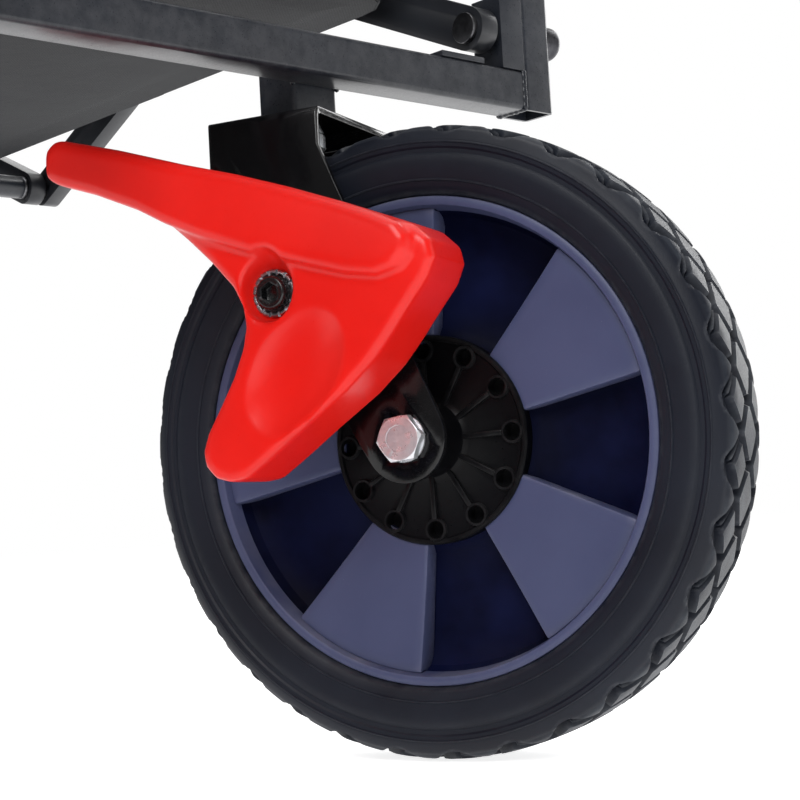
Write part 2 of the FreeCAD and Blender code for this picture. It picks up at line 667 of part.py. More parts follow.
def handle_bracket():
    """Two ears on the front rail, with a back plate."""
    back = POST_X + TUBE / 2
    inner = HANDLE_R + EAR_GAP
    low = RAIL_Z - TUBE / 2
    high = RAIL_Z + TUBE / 2
    outer = inner + EAR_THICK
    body = box((back, -outer, low), (HANDLE_X + EAR_REACH, outer, high))
    body = body.cut(box((back + EAR_THICK, -inner, low - 1), (HANDLE_X + EAR_REACH + 1, inner, high + 1)))
    return body.cut(rod(PIN_R, (HANDLE_X, -outer - 1, RAIL_Z), (HANDLE_X, outer + 1, RAIL_Z)))


def handle_bolt():
    outer = HANDLE_R + EAR_GAP + EAR_THICK
    shank = rod(PIN_R, (HANDLE_X, -outer, RAIL_Z), (HANDLE_X, outer, RAIL_Z))
    head = rod(PIN_HEAD_R, (HANDLE_X, outer, RAIL_Z), (HANDLE_X, outer + PIN_HEAD, RAIL_Z))
    nut = rod(PIN_HEAD_R, (HANDLE_X, -outer - PIN_HEAD, RAIL_Z), (HANDLE_X, -outer, RAIL_Z))
    return shank.fuse([head, nut]).removeSplitter()


def handle_tube():
    low = (HANDLE_X, 0, RAIL_Z - HANDLE_FOOT)
    high = (HANDLE_X, 0, HANDLE_TOP)
    tube = rod(HANDLE_R, low, high).cut(rod(HANDLE_R - HANDLE_WALL, low, high))
    hole = rod(PIN_R + RUN_GAP, (HANDLE_X, -2 * HANDLE_R, RAIL_Z), (HANDLE_X, 2 * HANDLE_R, RAIL_Z))
    return tube.cut(hole)


def handle_collar():
    """Plastic collar that grips the sliding tube, capped over the outer tube's end."""
    low = HANDLE_TOP - COLLAR_LAP
    body = rod(COLLAR_R, (HANDLE_X, 0, low), (HANDLE_X, 0, low + COLLAR_LENGTH))
    body = body.cut(rod(HANDLE_R, (HANDLE_X, 0, low - 1), (HANDLE_X, 0, HANDLE_TOP)))
    bore = HANDLE_R - HANDLE_WALL
    return body.cut(rod(bore, (HANDLE_X, 0, low), (HANDLE_X, 0, low + COLLAR_LENGTH + 1)))


def slide_tube():
    radius = HANDLE_R - HANDLE_WALL - RUN_GAP
    low = (HANDLE_X, 0, SLIDE_TUBE_FOOT)
    high = (HANDLE_X, 0, SLIDE_TUBE_TOP)
    return rod(radius, low, high).cut(rod(radius - SLIDE_TUBE_WALL, low, high))


def handle_grip():
    """T-shaped grip: a neck over the tube and a round bar across."""
    bore = HANDLE_R - HANDLE_WALL - RUN_GAP
    neck_low = SLIDE_TUBE_TOP - GRIP_NECK / 2
    bar_z = SLIDE_TUBE_TOP + GRIP_NECK
    bar = rod(GRIP_R, (HANDLE_X, -GRIP_HALF, bar_z), (HANDLE_X, GRIP_HALF, bar_z))
    bar = bar.makeFillet(GRIP_R / 2, [e for e in bar.Edges if e.BoundBox.YLength < 1e-6])
    neck = rod(COLLAR_R, (HANDLE_X, 0, neck_low), (HANDLE_X, 0, bar_z))
    body = bar.fuse(neck).removeSplitter()
    return body.cut(rod(bore, (HANDLE_X, 0, neck_low - 1), (HANDLE_X, 0, SLIDE_TUBE_TOP)))


# Fabric tub

def fabric_tub():
    """Plain closed solid of the tub's cloth: floor and four walls, open at the top."""
    half_x = POST_X - TUBE / 2 - TUB_GAP
    half_y = INNER_PLANE[0] - PIN_HEAD - TUB_GAP
    outer = box((-half_x, -half_y, TUB_FLOOR_Z), (half_x, half_y, TUB_TOP_Z))
    inner = box((-half_x + TUB_WALL, -half_y + TUB_WALL, TUB_FLOOR_Z + TUB_WALL),
                (half_x - TUB_WALL, half_y - TUB_WALL, TUB_TOP_Z + 1))
    return outer.cut(inner)


def all_nodes():
    nodes = {
        "front_bottom_rail": bottom_rail(POST_X),
        "front_top_rail": top_rail(POST_X),
        "front_posts": posts(POST_X),
        "front_post_caps": post_caps(POST_X),
        "front_foot_bolts": foot_bolts(POST_X, INNER_PLANE, OUTER_PLANE[0]),
        "corner_brackets": corner_brackets(),
        "caster_stems": caster_stems(),
        "stem_bushes": stem_bushes(),
        "rear_bottom_rail": bottom_rail(-POST_X),
        "rear_top_rail": top_rail(-POST_X),
        "rear_posts": posts(-POST_X),
        "rear_post_caps": post_caps(-POST_X),
        "rear_foot_bolts": foot_bolts(-POST_X, OUTER_PLANE, POST_FACE),
        "front_arm_pins": front_arm_pins(),
        "rear_arm_pins": rear_arm_pins(),
        "cross_bar": cross_bar(),
        "front_sliders": sliders(POST_X, OUTER_PLANE),
        "rear_sliders": sliders(-POST_X, INNER_PLANE),
        "handle_bracket": handle_bracket(),
        "handle_bolt": handle_bolt(),
        "handle_tube": handle_tube(),
        "handle_collar": handle_collar(),
        "slide_tube": slide_tube(),
        "handle_grip": handle_grip(),
        "fabric_tub": fabric_tub(),
    }
    nodes.update(arm_nodes())
    nodes.update(caster_nodes())
    nodes.update(rear_wheel_nodes())
    return nodes


os.makedirs("parts", exist_ok=True)
for node_name, node_shape in all_nodes().items():
    node_shape.exportStep("parts/" + node_name + ".step")
    print(node_name, len(node_shape.Solids), node_shape.isValid(), round(node_shape.Volume / 1000, 1))
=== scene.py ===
import json
import math

import bpy
from mathutils import Matrix, Vector


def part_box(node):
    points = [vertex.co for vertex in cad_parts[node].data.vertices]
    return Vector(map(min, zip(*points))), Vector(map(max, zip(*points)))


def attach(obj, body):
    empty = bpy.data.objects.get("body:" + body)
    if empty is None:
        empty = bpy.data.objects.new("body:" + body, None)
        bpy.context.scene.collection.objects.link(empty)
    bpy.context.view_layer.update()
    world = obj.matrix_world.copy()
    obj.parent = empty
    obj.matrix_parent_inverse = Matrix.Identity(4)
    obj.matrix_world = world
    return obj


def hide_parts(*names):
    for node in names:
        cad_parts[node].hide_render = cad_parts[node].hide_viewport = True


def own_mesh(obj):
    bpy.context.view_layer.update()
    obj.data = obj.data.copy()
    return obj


# Folding garden cart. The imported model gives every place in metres. New pieces are drawn in
# millimetres about their own axes, and set_down() brings each one to its place on the cart.

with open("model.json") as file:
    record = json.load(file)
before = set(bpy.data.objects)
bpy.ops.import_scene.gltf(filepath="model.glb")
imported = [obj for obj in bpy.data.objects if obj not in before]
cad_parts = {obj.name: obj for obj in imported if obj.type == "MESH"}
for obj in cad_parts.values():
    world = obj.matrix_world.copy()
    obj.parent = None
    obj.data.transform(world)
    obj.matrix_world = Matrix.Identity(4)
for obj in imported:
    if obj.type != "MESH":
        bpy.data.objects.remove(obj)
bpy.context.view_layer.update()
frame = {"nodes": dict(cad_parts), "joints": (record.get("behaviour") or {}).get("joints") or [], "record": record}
JOINTS = {joint["name"]: joint for joint in frame["joints"]}
SIDES = ("left", "right")
MM = 0.001
FULL_TURN = 2 * math.pi


# ---------------------------------------------------------------- places on the cart

def joint_point(name):
    return Vector(JOINTS[name]["pos_m"])


def joint_axis(name):
    return Vector(JOINTS[name]["axis"]).normalized()


def roll_yaw(side):
    axis = joint_axis(side + "_front_roll")
    return math.atan2(-axis.x, axis.y)


AXLE = {side: joint_point(side + "_front_roll") for side in SIDES}
REAR_AXLE = {side: joint_point(side + "_rear_roll") for side in SIDES}
YAW = {side: roll_yaw(side) for side in SIDES}


def flip_y(flipped):
    return Matrix.Scale(-1 if flipped else 1, 4, (0, 1, 0))


def caster_place(side):
    """From a caster's drawing axes, axle at the origin and pedal at negative Y, to the cart."""
    turn = Matrix.Rotation(YAW[side], 4, "Z")
    return Matrix.Translation(AXLE[side]) @ turn @ flip_y(side == "right")


def rear_place(side):
    """From a wheel's drawing axes to the rear axle, its outer face turned outwards."""
    return Matrix.Translation(REAR_AXLE[side]) @ flip_y(side == "left")


ON_CART = Matrix.Identity(4)


# ---------------------------------------------------------------- camera, floor and light

CAMERA_FROM_AXLE = Vector((0.4985, -0.4743, -0.0296))
CAMERA_YAW = math.radians(42.2)
CAMERA_PITCH = math.radians(3.91)
CAMERA_ROLL = math.radians(3.22)
CAMERA_LENS = 76.07
FLOOR_SIZE = 14
ROOM_GLOW = 0.22
FLOOR_GLOW = 0.82
# Soft boxes: place from the left front axle and size in metres, and power in watts.
LIGHTS = {
    "key_light": ((1.2, -1.6, 1.5), (1.3, 1.3), 40),
    "hub_light": ((-0.06, -1.5, 0.1), (0.35, 0.7), 1.4),
    "tread_light": ((-0.1, 1.6, 0.75), (0.5, 1.5), 16),
    "right_panel": ((1.3, 1.3, 0.45), (1.4, 1.2), 4),
    "top_light": ((-0.2, 0.1, 2.2), (2.4, 2.4), 38),
    "back_light": ((-2.2, 0.6, 1.6), (1.6, 1.6), 20),
}


def add_camera():
    data = bpy.data.cameras.new("camera")
    data.lens = CAMERA_LENS
    data.sensor_width = 36
    data.clip_start = 0.01
    camera = bpy.data.objects.new("camera", data)
    bpy.context.scene.collection.objects.link(camera)
    ahead = Vector((-math.cos(CAMERA_YAW), math.sin(CAMERA_YAW), 0))
    right = Vector((math.sin(CAMERA_YAW), math.cos(CAMERA_YAW), 0))
    view = ahead * math.cos(CAMERA_PITCH) + Vector((0, 0, math.sin(CAMERA_PITCH)))
    up = right.cross(view)
    roll = Matrix.Rotation(CAMERA_ROLL, 3, view)
    turn = Matrix((roll @ right, roll @ up, -view)).transposed()
    camera.matrix_world = Matrix.Translation(AXLE["left"] + CAMERA_FROM_AXLE) @ turn.to_4x4()
    bpy.context.scene.camera = camera


def add_floor():
    clear_selection()
    bpy.ops.mesh.primitive_plane_add(size=FLOOR_SIZE, location=(0, 0, 0))
    floor = bpy.context.object
    floor.name = "floor"
    material, tree, shader = new_material("pale_floor")
    wire(tree, shader, Base_Color=rgb(0.8, 0.8, 0.8), Emission_Color=rgb(1, 1, 1),
         Emission_Strength=FLOOR_GLOW, Roughness=0.85)
    floor.data.materials.append(material)


def add_area_light(name, away, size, power):
    """A soft box that faces the left front wheel."""
    target = AXLE["left"]
    place = target + Vector(away)
    data = bpy.data.lights.new(name, "AREA")
    data.shape = "RECTANGLE"
    data.size, data.size_y = size
    data.energy = power
    light = bpy.data.objects.new(name, data)
    bpy.context.scene.collection.objects.link(light)
    light.location = place
    light.rotation_euler = (target - place).to_track_quat("-Z", "Y").to_euler()


def add_room():
    """A plain white room, which the camera sees bright and the cart's gloss sees dimmer."""
    world = bpy.data.worlds.new("studio")
    world.use_nodes = True
    tree = world.node_tree
    seen = add(tree, "LightPath", {}).outputs["Is Camera Ray"]
    glow = add(tree, "MapRange", {"Value": seen, "To Min": ROOM_GLOW}).outputs["Result"]
    wire(tree, tree.nodes["Background"], Color=rgb(1, 1, 1), Strength=glow)
    bpy.context.scene.world = world
    bpy.context.scene.view_settings.view_transform = "Standard"


def add_lights():
    add_room()
    for name, (away, size, power) in LIGHTS.items():
        add_area_light(name, away, size, power)


# ---------------------------------------------------------------- modelling by hand

def clear_selection():
    if bpy.context.mode != "OBJECT":
        bpy.ops.object.mode_set(mode="OBJECT")
    bpy.ops.object.select_all(action="DESELECT")


def take(piece):
    """Selects one piece and nothing else."""
    clear_selection()
    piece.select_set(True)
    bpy.context.view_layer.objects.active = piece


def edit(piece):
    take(piece)
    bpy.ops.object.mode_set(mode="EDIT")


def close_edit():
    bpy.ops.object.mode_set(mode="OBJECT")


def apply_place():
    bpy.ops.object.transform_apply(location=True, rotation=True, scale=True)


def select_whole():
    bpy.ops.mesh.select_all(action="SELECT")


def face_outwards():
    """In edit mode: turns every face outwards."""
    select_whole()
    bpy.ops.mesh.normals_make_consistent(inside=False)


def pull(step):
    """In edit mode: extrudes what is selected by the step."""
    bpy.ops.mesh.extrude_region_move(TRANSFORM_OT_translate={"value": step})


def sweep(steps, angle, dupli=False):
    """In edit mode: turns what is selected about the Y axis, as a skin or as copies."""
    bpy.ops.mesh.spin(steps=steps, dupli=dupli, angle=angle, center=(0, 0, 0), axis=(0, 1, 0))


def named(name):
    piece = bpy.context.object
    piece.name = name
    piece.data.name = name
    return piece


def draw(name, points):
    """A chain of edges through the points, left in edit mode with its last point selected."""
    clear_selection()
    bpy.ops.mesh.primitive_plane_add(size=1)
    piece = named(name)
    bpy.ops.object.mode_set(mode="EDIT")
    bpy.ops.mesh.select_mode(type="VERT")
    select_whole()
    bpy.ops.mesh.merge(type="CENTER")
    bpy.ops.transform.translate(value=points[0])
    for before, after in zip(points, points[1:]):
        pull(Vector(after) - Vector(before))
    select_whole()
    return piece


def tidy_skin():
    """In edit mode: merges doubles and turns every face outwards."""
    select_whole()
    bpy.ops.mesh.remove_doubles(threshold=0.01)
    face_outwards()


def turned(name, section, steps=96, closed=False):
    """A section of (radius, y) points, turned about the Y axis; closed joins its ends."""
    piece = draw(name, [(radius, y, 0) for radius, y in section])
    if closed:
        bpy.ops.mesh.edge_face_add()
        bpy.ops.mesh.delete(type="ONLY_FACE")
        select_whole()
    sweep(steps, FULL_TURN)
    tidy_skin()
    close_edit()
    return piece


def both_sides(half):
    """A section of (radius, y) points and its mirror image; a point on the middle plane stands once."""
    return [(r, -y) for r, y in half] + [(r, y) for r, y in reversed(half) if y != 0]


def cut_out(name, outline, near, far):
    """An outline of (x, z) points as a slab from y = near to y = far."""
    piece = draw(name, [(x, near, z) for x, z in outline])
    bpy.ops.mesh.edge_face_add()
    pull((0, far - near, 0))
    tidy_skin()
    close_edit()
    return piece


def drum(name, radius, near, far, centre=(0, 0), vertices=48):
    """A round bar along Y about (x, z)."""
    clear_selection()
    place = (centre[0], (near + far) / 2, centre[1])
    bpy.ops.mesh.primitive_cylinder_add(vertices=vertices, radius=radius, depth=abs(far - near),
                                        location=place, rotation=(math.pi / 2, 0, 0))
    piece = named(name)
    apply_place()
    return piece


def block(name, low, high):
    clear_selection()
    low, high = Vector(low), Vector(high)
    bpy.ops.mesh.primitive_cube_add(size=1, location=(low + high) / 2, scale=high - low)
    piece = named(name)
    apply_place()
    return piece


def pick_faces(piece, test):
    """In edit mode: selects the faces whose centre and normal pass the test."""
    bpy.ops.mesh.select_mode(type="FACE")
    bpy.ops.mesh.select_all(action="DESELECT")
    close_edit()
    for face in piece.data.polygons:
        face.select = test(face.center, face.normal)
    bpy.ops.object.mode_set(mode="EDIT")


def pick_edges(piece, test):
    """In edit mode: selects the edges whose two ends pass the test."""
    bpy.ops.mesh.select_mode(type="EDGE")
    bpy.ops.mesh.select_all(action="DESELECT")
    close_edit()
    points = piece.data.vertices
    for line in piece.data.edges:
        start, end = (points[index].co for index in line.vertices)
        line.select = test(start, end)
    bpy.ops.object.mode_set(mode="EDIT")


def apply_modifier(piece, kind, **settings):
    take(piece)
    modifier = piece.modifiers.new(kind.lower(), kind)
    for key, value in settings.items():
        setattr(modifier, key, value)
    bpy.ops.object.modifier_apply(modifier=modifier.name)


def round_edges(piece, width, segments=2, angle=30):
    apply_modifier(piece, "BEVEL", width=width, segments=segments, limit_method="ANGLE",
                   angle_limit=math.radians(angle), harden_normals=False)


def combine(piece, operation, *tools):
    """Takes the tools' shapes from the piece, welds them on, or keeps what they share; drops the tools."""
    for tool in tools:
        apply_modifier(piece, "BOOLEAN", operation=operation, object=tool, solver="EXACT")
        bpy.data.objects.remove(tool)


def cut_away(piece, *tools):
    combine(piece, "DIFFERENCE", *tools)


def put_together(name, pieces):
    """Joins pieces into one object without welding them."""
    clear_selection()
    for piece in pieces:
        piece.select_set(True)
    bpy.context.view_layer.objects.active = pieces[0]
    bpy.ops.object.join()
    return named(name)


def copy_of(piece, name):
    twin = piece.copy()
    twin.data = piece.data.copy()
    twin.name = name
    twin.data.name = name
    bpy.context.scene.collection.objects.link(twin)
    return twin


def ring_of(piece, count):
    """Repeats the piece's mesh evenly about the Y axis."""
    edit(piece)
    select_whole()
    sweep(count - 1, FULL_TURN * (count - 1) / count, dupli=True)
    close_edit()


def reshape(piece, change):
    """Moves each point of the mesh to change(point)."""
    for point in piece.data.vertices:
        point.co = change(point.co)


def turn_about_y(piece, angle):
    turn = Matrix.Rotation(angle, 3, "Y")
    reshape(piece, lambda p: turn @ p)


def shift(piece, x, z):
    reshape(piece, lambda p: p + Vector((x, 0, z)))


def set_down(piece, place, smooth=32):
    """Brings a piece from its drawing in millimetres to its place in metres."""
    piece.matrix_world = place @ Matrix.Scale(MM, 4)
    take(piece)
    apply_place()
    edit(piece)
    face_outwards()
    close_edit()
    bpy.ops.object.shade_smooth_by_angle(angle=math.radians(smooth))


def fit(piece, body, material, slot, *stands_for):
    """Gives a placed piece its finish, its body, and the CAD nodes that it stands for."""
    piece.data.materials.clear()
    piece.data.materials.append(material)
    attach(piece, body)
    if stands_for:
        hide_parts(*stands_for)


# ---------------------------------------------------------------- shared surface effects

def new_material(name):
    """A material with its node tree and its shader."""
    material = bpy.data.materials.new(name)
    material.use_nodes = True
    return material, material.node_tree, material.node_tree.nodes["Principled BSDF"]


def rgb(red, green, blue):
    return (red, green, blue, 1.0)


def put(tree, socket, value):
    """Gives a socket a value or links another node's output to it."""
    if isinstance(value, bpy.types.NodeSocket):
        tree.links.new(value, socket)
    else:
        socket.default_value = value


def wire(tree, node, **values):
    """Fills a node's inputs; underscores in the names stand for spaces."""
    for key, value in values.items():
        put(tree, node.inputs[key.replace("_", " ")], value)


def add(tree, kind, links, **settings):
    """A shader node with its settings; links gives each input a value or another node's output."""
    made = tree.nodes.new("ShaderNode" + kind)
    for key, value in settings.items():
        setattr(made, key, value)
    for key, value in links.items():
        put(tree, made.inputs[key], value)
    return made


OUTPUT_KINDS = {"Color": "Color", "Mask": "Float", "Height": "Float", "Normal": "Vector"}


def start_group(name, inputs, *outputs):
    """A node group; an input is a colour (None) or a number. Gives its tree, inputs and end node."""
    tree = bpy.data.node_groups.new(name, "ShaderNodeTree")
    for label, value in inputs.items():
        kind = "NodeSocketColor" if value is None else "NodeSocketFloat"
        socket = tree.interface.new_socket(name=label, in_out="INPUT", socket_type=kind)
        if value is not None:
            socket.default_value = value
    for label in outputs:
        kind = "NodeSocket" + OUTPUT_KINDS[label]
        tree.interface.new_socket(name=label, in_out="OUTPUT", socket_type=kind)
    return tree, tree.nodes.new("NodeGroupInput").outputs, tree.nodes.new("NodeGroupOutput")


def object_place(tree):
    return add(tree, "TexCoord", {}).outputs["Object"]


def noise(tree, scale, detail=3.0, rough=0.5, vector=None):
    links = {"Vector": vector or object_place(tree), "Scale": scale, "Detail": detail, "Roughness": rough}
    return add(tree, "TexNoise", links).outputs["Fac"]


def live(sockets, name=None):
    """The socket in use on a Mix node, which has a set of sockets for each kind of data."""
    return [s for s in sockets if s.enabled and name in (None, s.name)][0]


def mix(tree, factor, first, second, kind="RGBA"):
    mixer = tree.nodes.new("ShaderNodeMix")
    mixer.data_type = kind
    for key, value in {"Factor": factor, "A": first, "B": second}.items():
        put(tree, live(mixer.inputs, key), value)
    return live(mixer.outputs)


def stretch_range(tree, value, low, high, to_low=0.0, to_high=1.0):
    links = {"Value": value, "From Min": low, "From Max": high, "To Min": to_low, "To Max": to_high}
    return add(tree, "MapRange", links).outputs["Result"]


def compute(tree, operation, *values, clamp=False):
    return add(tree, "Math", dict(enumerate(values)), operation=operation, use_clamp=clamp).outputs[0]


def multiply(tree, first, second):
    return compute(tree, "MULTIPLY", first, second, clamp=True)


def make_mottle():
    """Broad clouds of a second tone, as in a moulding or a coat of paint."""
    inputs = {"Tone": None, "Second Tone": None, "Scale": 20.0, "Amount": 1.0}
    tree, given, end = start_group("Mottle", inputs, "Color", "Mask")
    cloud = noise(tree, given["Scale"], detail=4.0, rough=0.6)
    mask = multiply(tree, stretch_range(tree, cloud, 0.38, 0.66), given["Amount"])
    wire(tree, end, Color=mix(tree, mask, given["Tone"], given["Second Tone"]), Mask=mask)
    return tree


def make_edge_wear():
    """Lighter worn metal or scuffed plastic along sharp edges, broken up by noise."""
    inputs = {"Color": None, "Worn Color": None, "Amount": 0.5, "Start": 0.53}
    tree, given, end = start_group("Edge Wear", inputs, "Color", "Mask")
    sharp = add(tree, "NewGeometry", {}).outputs["Pointiness"]
    edge = stretch_range(tree, sharp, given["Start"], compute(tree, "ADD", given["Start"], 0.06))
    patchy = stretch_range(tree, noise(tree, 160.0, detail=5.0, rough=0.7), 0.35, 0.62)
    mask = multiply(tree, multiply(tree, edge, patchy), given["Amount"])
    wire(tree, end, Color=mix(tree, mask, given["Color"], given["Worn Color"]), Mask=mask)
    return tree


def make_dust():
    """Pale dust on upward faces and in specks."""
    inputs = {"Color": None, "Dust Color": None, "Amount": 0.3, "Speck Scale": 700.0}
    tree, given, end = start_group("Dust", inputs, "Color", "Mask")
    normal = add(tree, "NewGeometry", {}).outputs["Normal"]
    upward = stretch_range(tree, add(tree, "SeparateXYZ", {0: normal}).outputs["Z"], 0.1, 1.0)
    film = multiply(tree, upward, stretch_range(tree, noise(tree, 40.0, detail=5.0), 0.4, 0.75))
    cells = add(tree, "TexVoronoi", {"Vector": object_place(tree), "Scale": given["Speck Scale"]})
    speck = stretch_range(tree, cells.outputs["Distance"], 0.09, 0.05)
    rare = stretch_range(tree, noise(tree, 90.0, detail=2.0), 0.6, 0.66)
    both = compute(tree, "ADD", film, multiply(tree, speck, rare), clamp=True)
    mask = multiply(tree, both, given["Amount"])
    wire(tree, end, Color=mix(tree, mask, given["Color"], given["Dust Color"]), Mask=mask)
    return tree


def bump(tree, height, strength, distance, under=None):
    """A relief, on top of another one's normal where under is given; gives the new normal."""
    links = {"Height": height, "Strength": strength, "Distance": distance}
    if under:
        links["Normal"] = under
    return add(tree, "Bump", links).outputs["Normal"]


def make_grain():
    """Fine relief with a broad unevenness under it, and a mask for roughness."""
    inputs = {"Scale": 900.0, "Strength": 0.1, "Wave Scale": 60.0, "Wave Strength": 0.1}
    tree, given, end = start_group("Grain", inputs, "Normal", "Mask")
    fine = noise(tree, given["Scale"], detail=4.0, rough=0.6)
    broad = noise(tree, given["Wave Scale"], detail=2.0)
    under = bump(tree, broad, given["Wave Strength"], 0.002)
    wire(tree, end, Normal=bump(tree, fine, given["Strength"], 0.0003, under), Mask=fine)
    return tree


def make_scratches():
    """Hair scratches in two directions."""
    tree, given, end = start_group("Scratches", {"Scale": 60.0, "Amount": 0.3}, "Mask")
    masks = []
    for angle in (0.5, -0.9):
        place = add(tree, "Mapping", {"Vector": object_place(tree), "Rotation": (angle, 0.4, angle),
                                      "Scale": (1.0, 14.0, 14.0)}).outputs["Vector"]
        line = noise(tree, given["Scale"], detail=2.0, rough=0.4, vector=place)
        thin = stretch_range(tree, compute(tree, "SUBTRACT", line, 0.5), 0.012, 0.0)
        masks.append(multiply(tree, thin, compute(tree, "GREATER_THAN", line, 0.5)))
    sparse = stretch_range(tree, noise(tree, 30.0, detail=3.0), 0.52, 0.6)
    both = compute(tree, "MAXIMUM", *masks)
    wire(tree, end, Mask=multiply(tree, multiply(tree, both, sparse), given["Amount"]))
    return tree


def make_weave():
    """Plain weave on the piece's own map: warp and weft threads with their own shade and height."""
    inputs = {"Color": None, "Thread Color": None, "Threads": 900.0}
    tree, given, end = start_group("Weave", inputs, "Color", "Height")
    place = add(tree, "UVMap", {}, uv_map="cloth").outputs["UV"]
    scaled = add(tree, "VectorMath", {0: place, "Scale": given["Threads"]}, operation="SCALE")
    parts = add(tree, "SeparateXYZ", {0: scaled.outputs[0]})
    waves = [compute(tree, "SINE", compute(tree, "MULTIPLY", parts.outputs[axis], math.pi))
             for axis in ("X", "Y")]
    over = stretch_range(tree, compute(tree, "MULTIPLY", *waves), -0.4, 0.4)
    warp, weft = (compute(tree, "ABSOLUTE", wave) for wave in waves)
    rise = mix(tree, over, warp, weft, kind="FLOAT")
    fuzz = stretch_range(tree, noise(tree, 400.0, detail=4.0), 0.3, 0.7, 0.7, 1.0)
    shade = multiply(tree, rise, fuzz)
    wire(tree, end, Color=mix(tree, shade, given["Color"], given["Thread Color"]), Height=rise)
    return tree


EFFECT_MAKERS = {"Mottle": make_mottle, "Edge Wear": make_edge_wear, "Dust": make_dust,
                 "Grain": make_grain, "Scratches": make_scratches, "Weave": make_weave}
EFFECTS = {}


def effect(tree, name, **inputs):
    """Places a shared effect in a material and gives its outputs."""
    if name not in EFFECTS:
        EFFECTS[name] = EFFECT_MAKERS[name]()
    made = tree.nodes.new("ShaderNodeGroup")
    made.node_tree = EFFECTS[name]
    wire(tree, made, **inputs)
    return made.outputs


def scratched(tree, rough, scale, amount, depth):
    """A roughness, raised where hair scratches run."""
    marks = effect(tree, "Scratches", Scale=scale, Amount=amount)
    return compute(tree, "ADD", rough, multiply(tree, marks["Mask"], depth))


# ---------------------------------------------------------------- finishes

def coated_steel(name, tone, second, rough, worn, dust, grain, wave=0.05, gloss=0.4):
    """Painted or powder-coated steel tube and sheet."""
    material, tree, shader = new_material(name)
    wire(tree, shader, IOR=1.5, Specular_IOR_Level=gloss)
    paint = effect(tree, "Mottle", Tone=rgb(*tone), Second_Tone=rgb(*second), Scale=26.0, Amount=0.8)
    edges = effect(tree, "Edge Wear", Color=paint["Color"], Worn_Color=rgb(0.16, 0.16, 0.17), Amount=worn)
    dusty = effect(tree, "Dust", Color=edges["Color"], Dust_Color=rgb(0.32, 0.31, 0.29), Amount=dust)
    relief = effect(tree, "Grain", Scale=1400.0, Strength=grain, Wave_Scale=90.0, Wave_Strength=wave)
    smooth = stretch_range(tree, relief["Mask"], 0.3, 0.7, rough - 0.04, rough + 0.06)
    final = scratched(tree, smooth, 50.0, 0.6, 0.35)
    wire(tree, shader, Base_Color=dusty["Color"], Roughness=final, Normal=relief["Normal"])
    return material


def zinc_plate(name, tone, second, rough, metal=1.0):
    """Bright zinc or chrome plate with a faint spangle, hair scratches and dulled patches."""
    material, tree, shader = new_material(name)
    wire(tree, shader, Metallic=metal)
    plate = effect(tree, "Mottle", Tone=rgb(*tone), Second_Tone=rgb(*second), Scale=140.0, Amount=0.7)
    edges = effect(tree, "Edge Wear", Color=plate["Color"], Worn_Color=rgb(0.85, 0.85, 0.87), Amount=0.5)
    relief = effect(tree, "Grain", Scale=2600.0, Strength=0.12, Wave_Scale=240.0, Wave_Strength=0.05)
    dull = stretch_range(tree, plate["Mask"], 0.0, 1.0, rough, rough + 0.16)
    final = scratched(tree, dull, 150.0, 0.8, 0.4)
    wire(tree, shader, Base_Color=edges["Color"], Roughness=final, Normal=relief["Normal"])
    return material


def moulded_plastic(name, tone, second, rough, grain=0.1, wave=0.05, dust=0.2, scuffs=0.4, gloss=0.5,
                    worn=None):
    """Injection-moulded plastic: faint flow clouds, fine skin and light scuffs."""
    material, tree, shader = new_material(name)
    wire(tree, shader, IOR=1.47, Specular_IOR_Level=gloss)
    flow = effect(tree, "Mottle", Tone=rgb(*tone), Second_Tone=rgb(*second), Scale=18.0, Amount=0.9)
    scuffed = rgb(*(worn or [min(1.0, 2.4 * part + 0.03) for part in tone]))
    edges = effect(tree, "Edge Wear", Color=flow["Color"], Worn_Color=scuffed, Amount=0.3)
    dusty = effect(tree, "Dust", Color=edges["Color"], Dust_Color=rgb(0.4, 0.4, 0.42), Amount=dust)
    relief = effect(tree, "Grain", Scale=1100.0, Strength=grain, Wave_Scale=70.0, Wave_Strength=wave)
    base = stretch_range(tree, relief["Mask"], 0.3, 0.7, rough - 0.03, rough + 0.07)
    final = scratched(tree, base, 70.0, scuffs, 0.4)
    wire(tree, shader, Base_Color=dusty["Color"], Roughness=final, Normal=relief["Normal"])
    return material


def brake_red():
    """Glossy red moulding, slightly translucent, deeper where it is thick."""
    material = moulded_plastic("brake_red", (0.71, 0.011, 0.007), (0.63, 0.008, 0.005), 0.3, grain=0.05,
                               wave=0.06, dust=0.02, scuffs=0.25, gloss=0.3)
    tree = material.node_tree
    wire(tree, tree.nodes["Principled BSDF"], Subsurface_Weight=0.12, Subsurface_Radius=(1.0, 0.1, 0.05),
         Subsurface_Scale=0.002, Coat_Weight=0.12, Coat_Roughness=0.18)
    return material


def rim_slate():
    """Satin slate-blue plastic with a lighter worn lip and fan edges."""
    return moulded_plastic("rim_slate", (0.049, 0.058, 0.122), (0.039, 0.047, 0.104), 0.42, grain=0.1,
                           wave=0.05, dust=0.3, scuffs=0.6, gloss=0.35, worn=(0.2, 0.2, 0.3))


def rim_pocket_painted_shade():
    """The same plastic deep between the fans, painted near black with a navy cast as painted shade."""
    return moulded_plastic("rim_pocket_painted_shade", (0.0012, 0.0018, 0.010), (0.004, 0.006, 0.030), 0.5, grain=0.08,
                           wave=0.1, dust=0.03, scuffs=0.3, gloss=0.05)


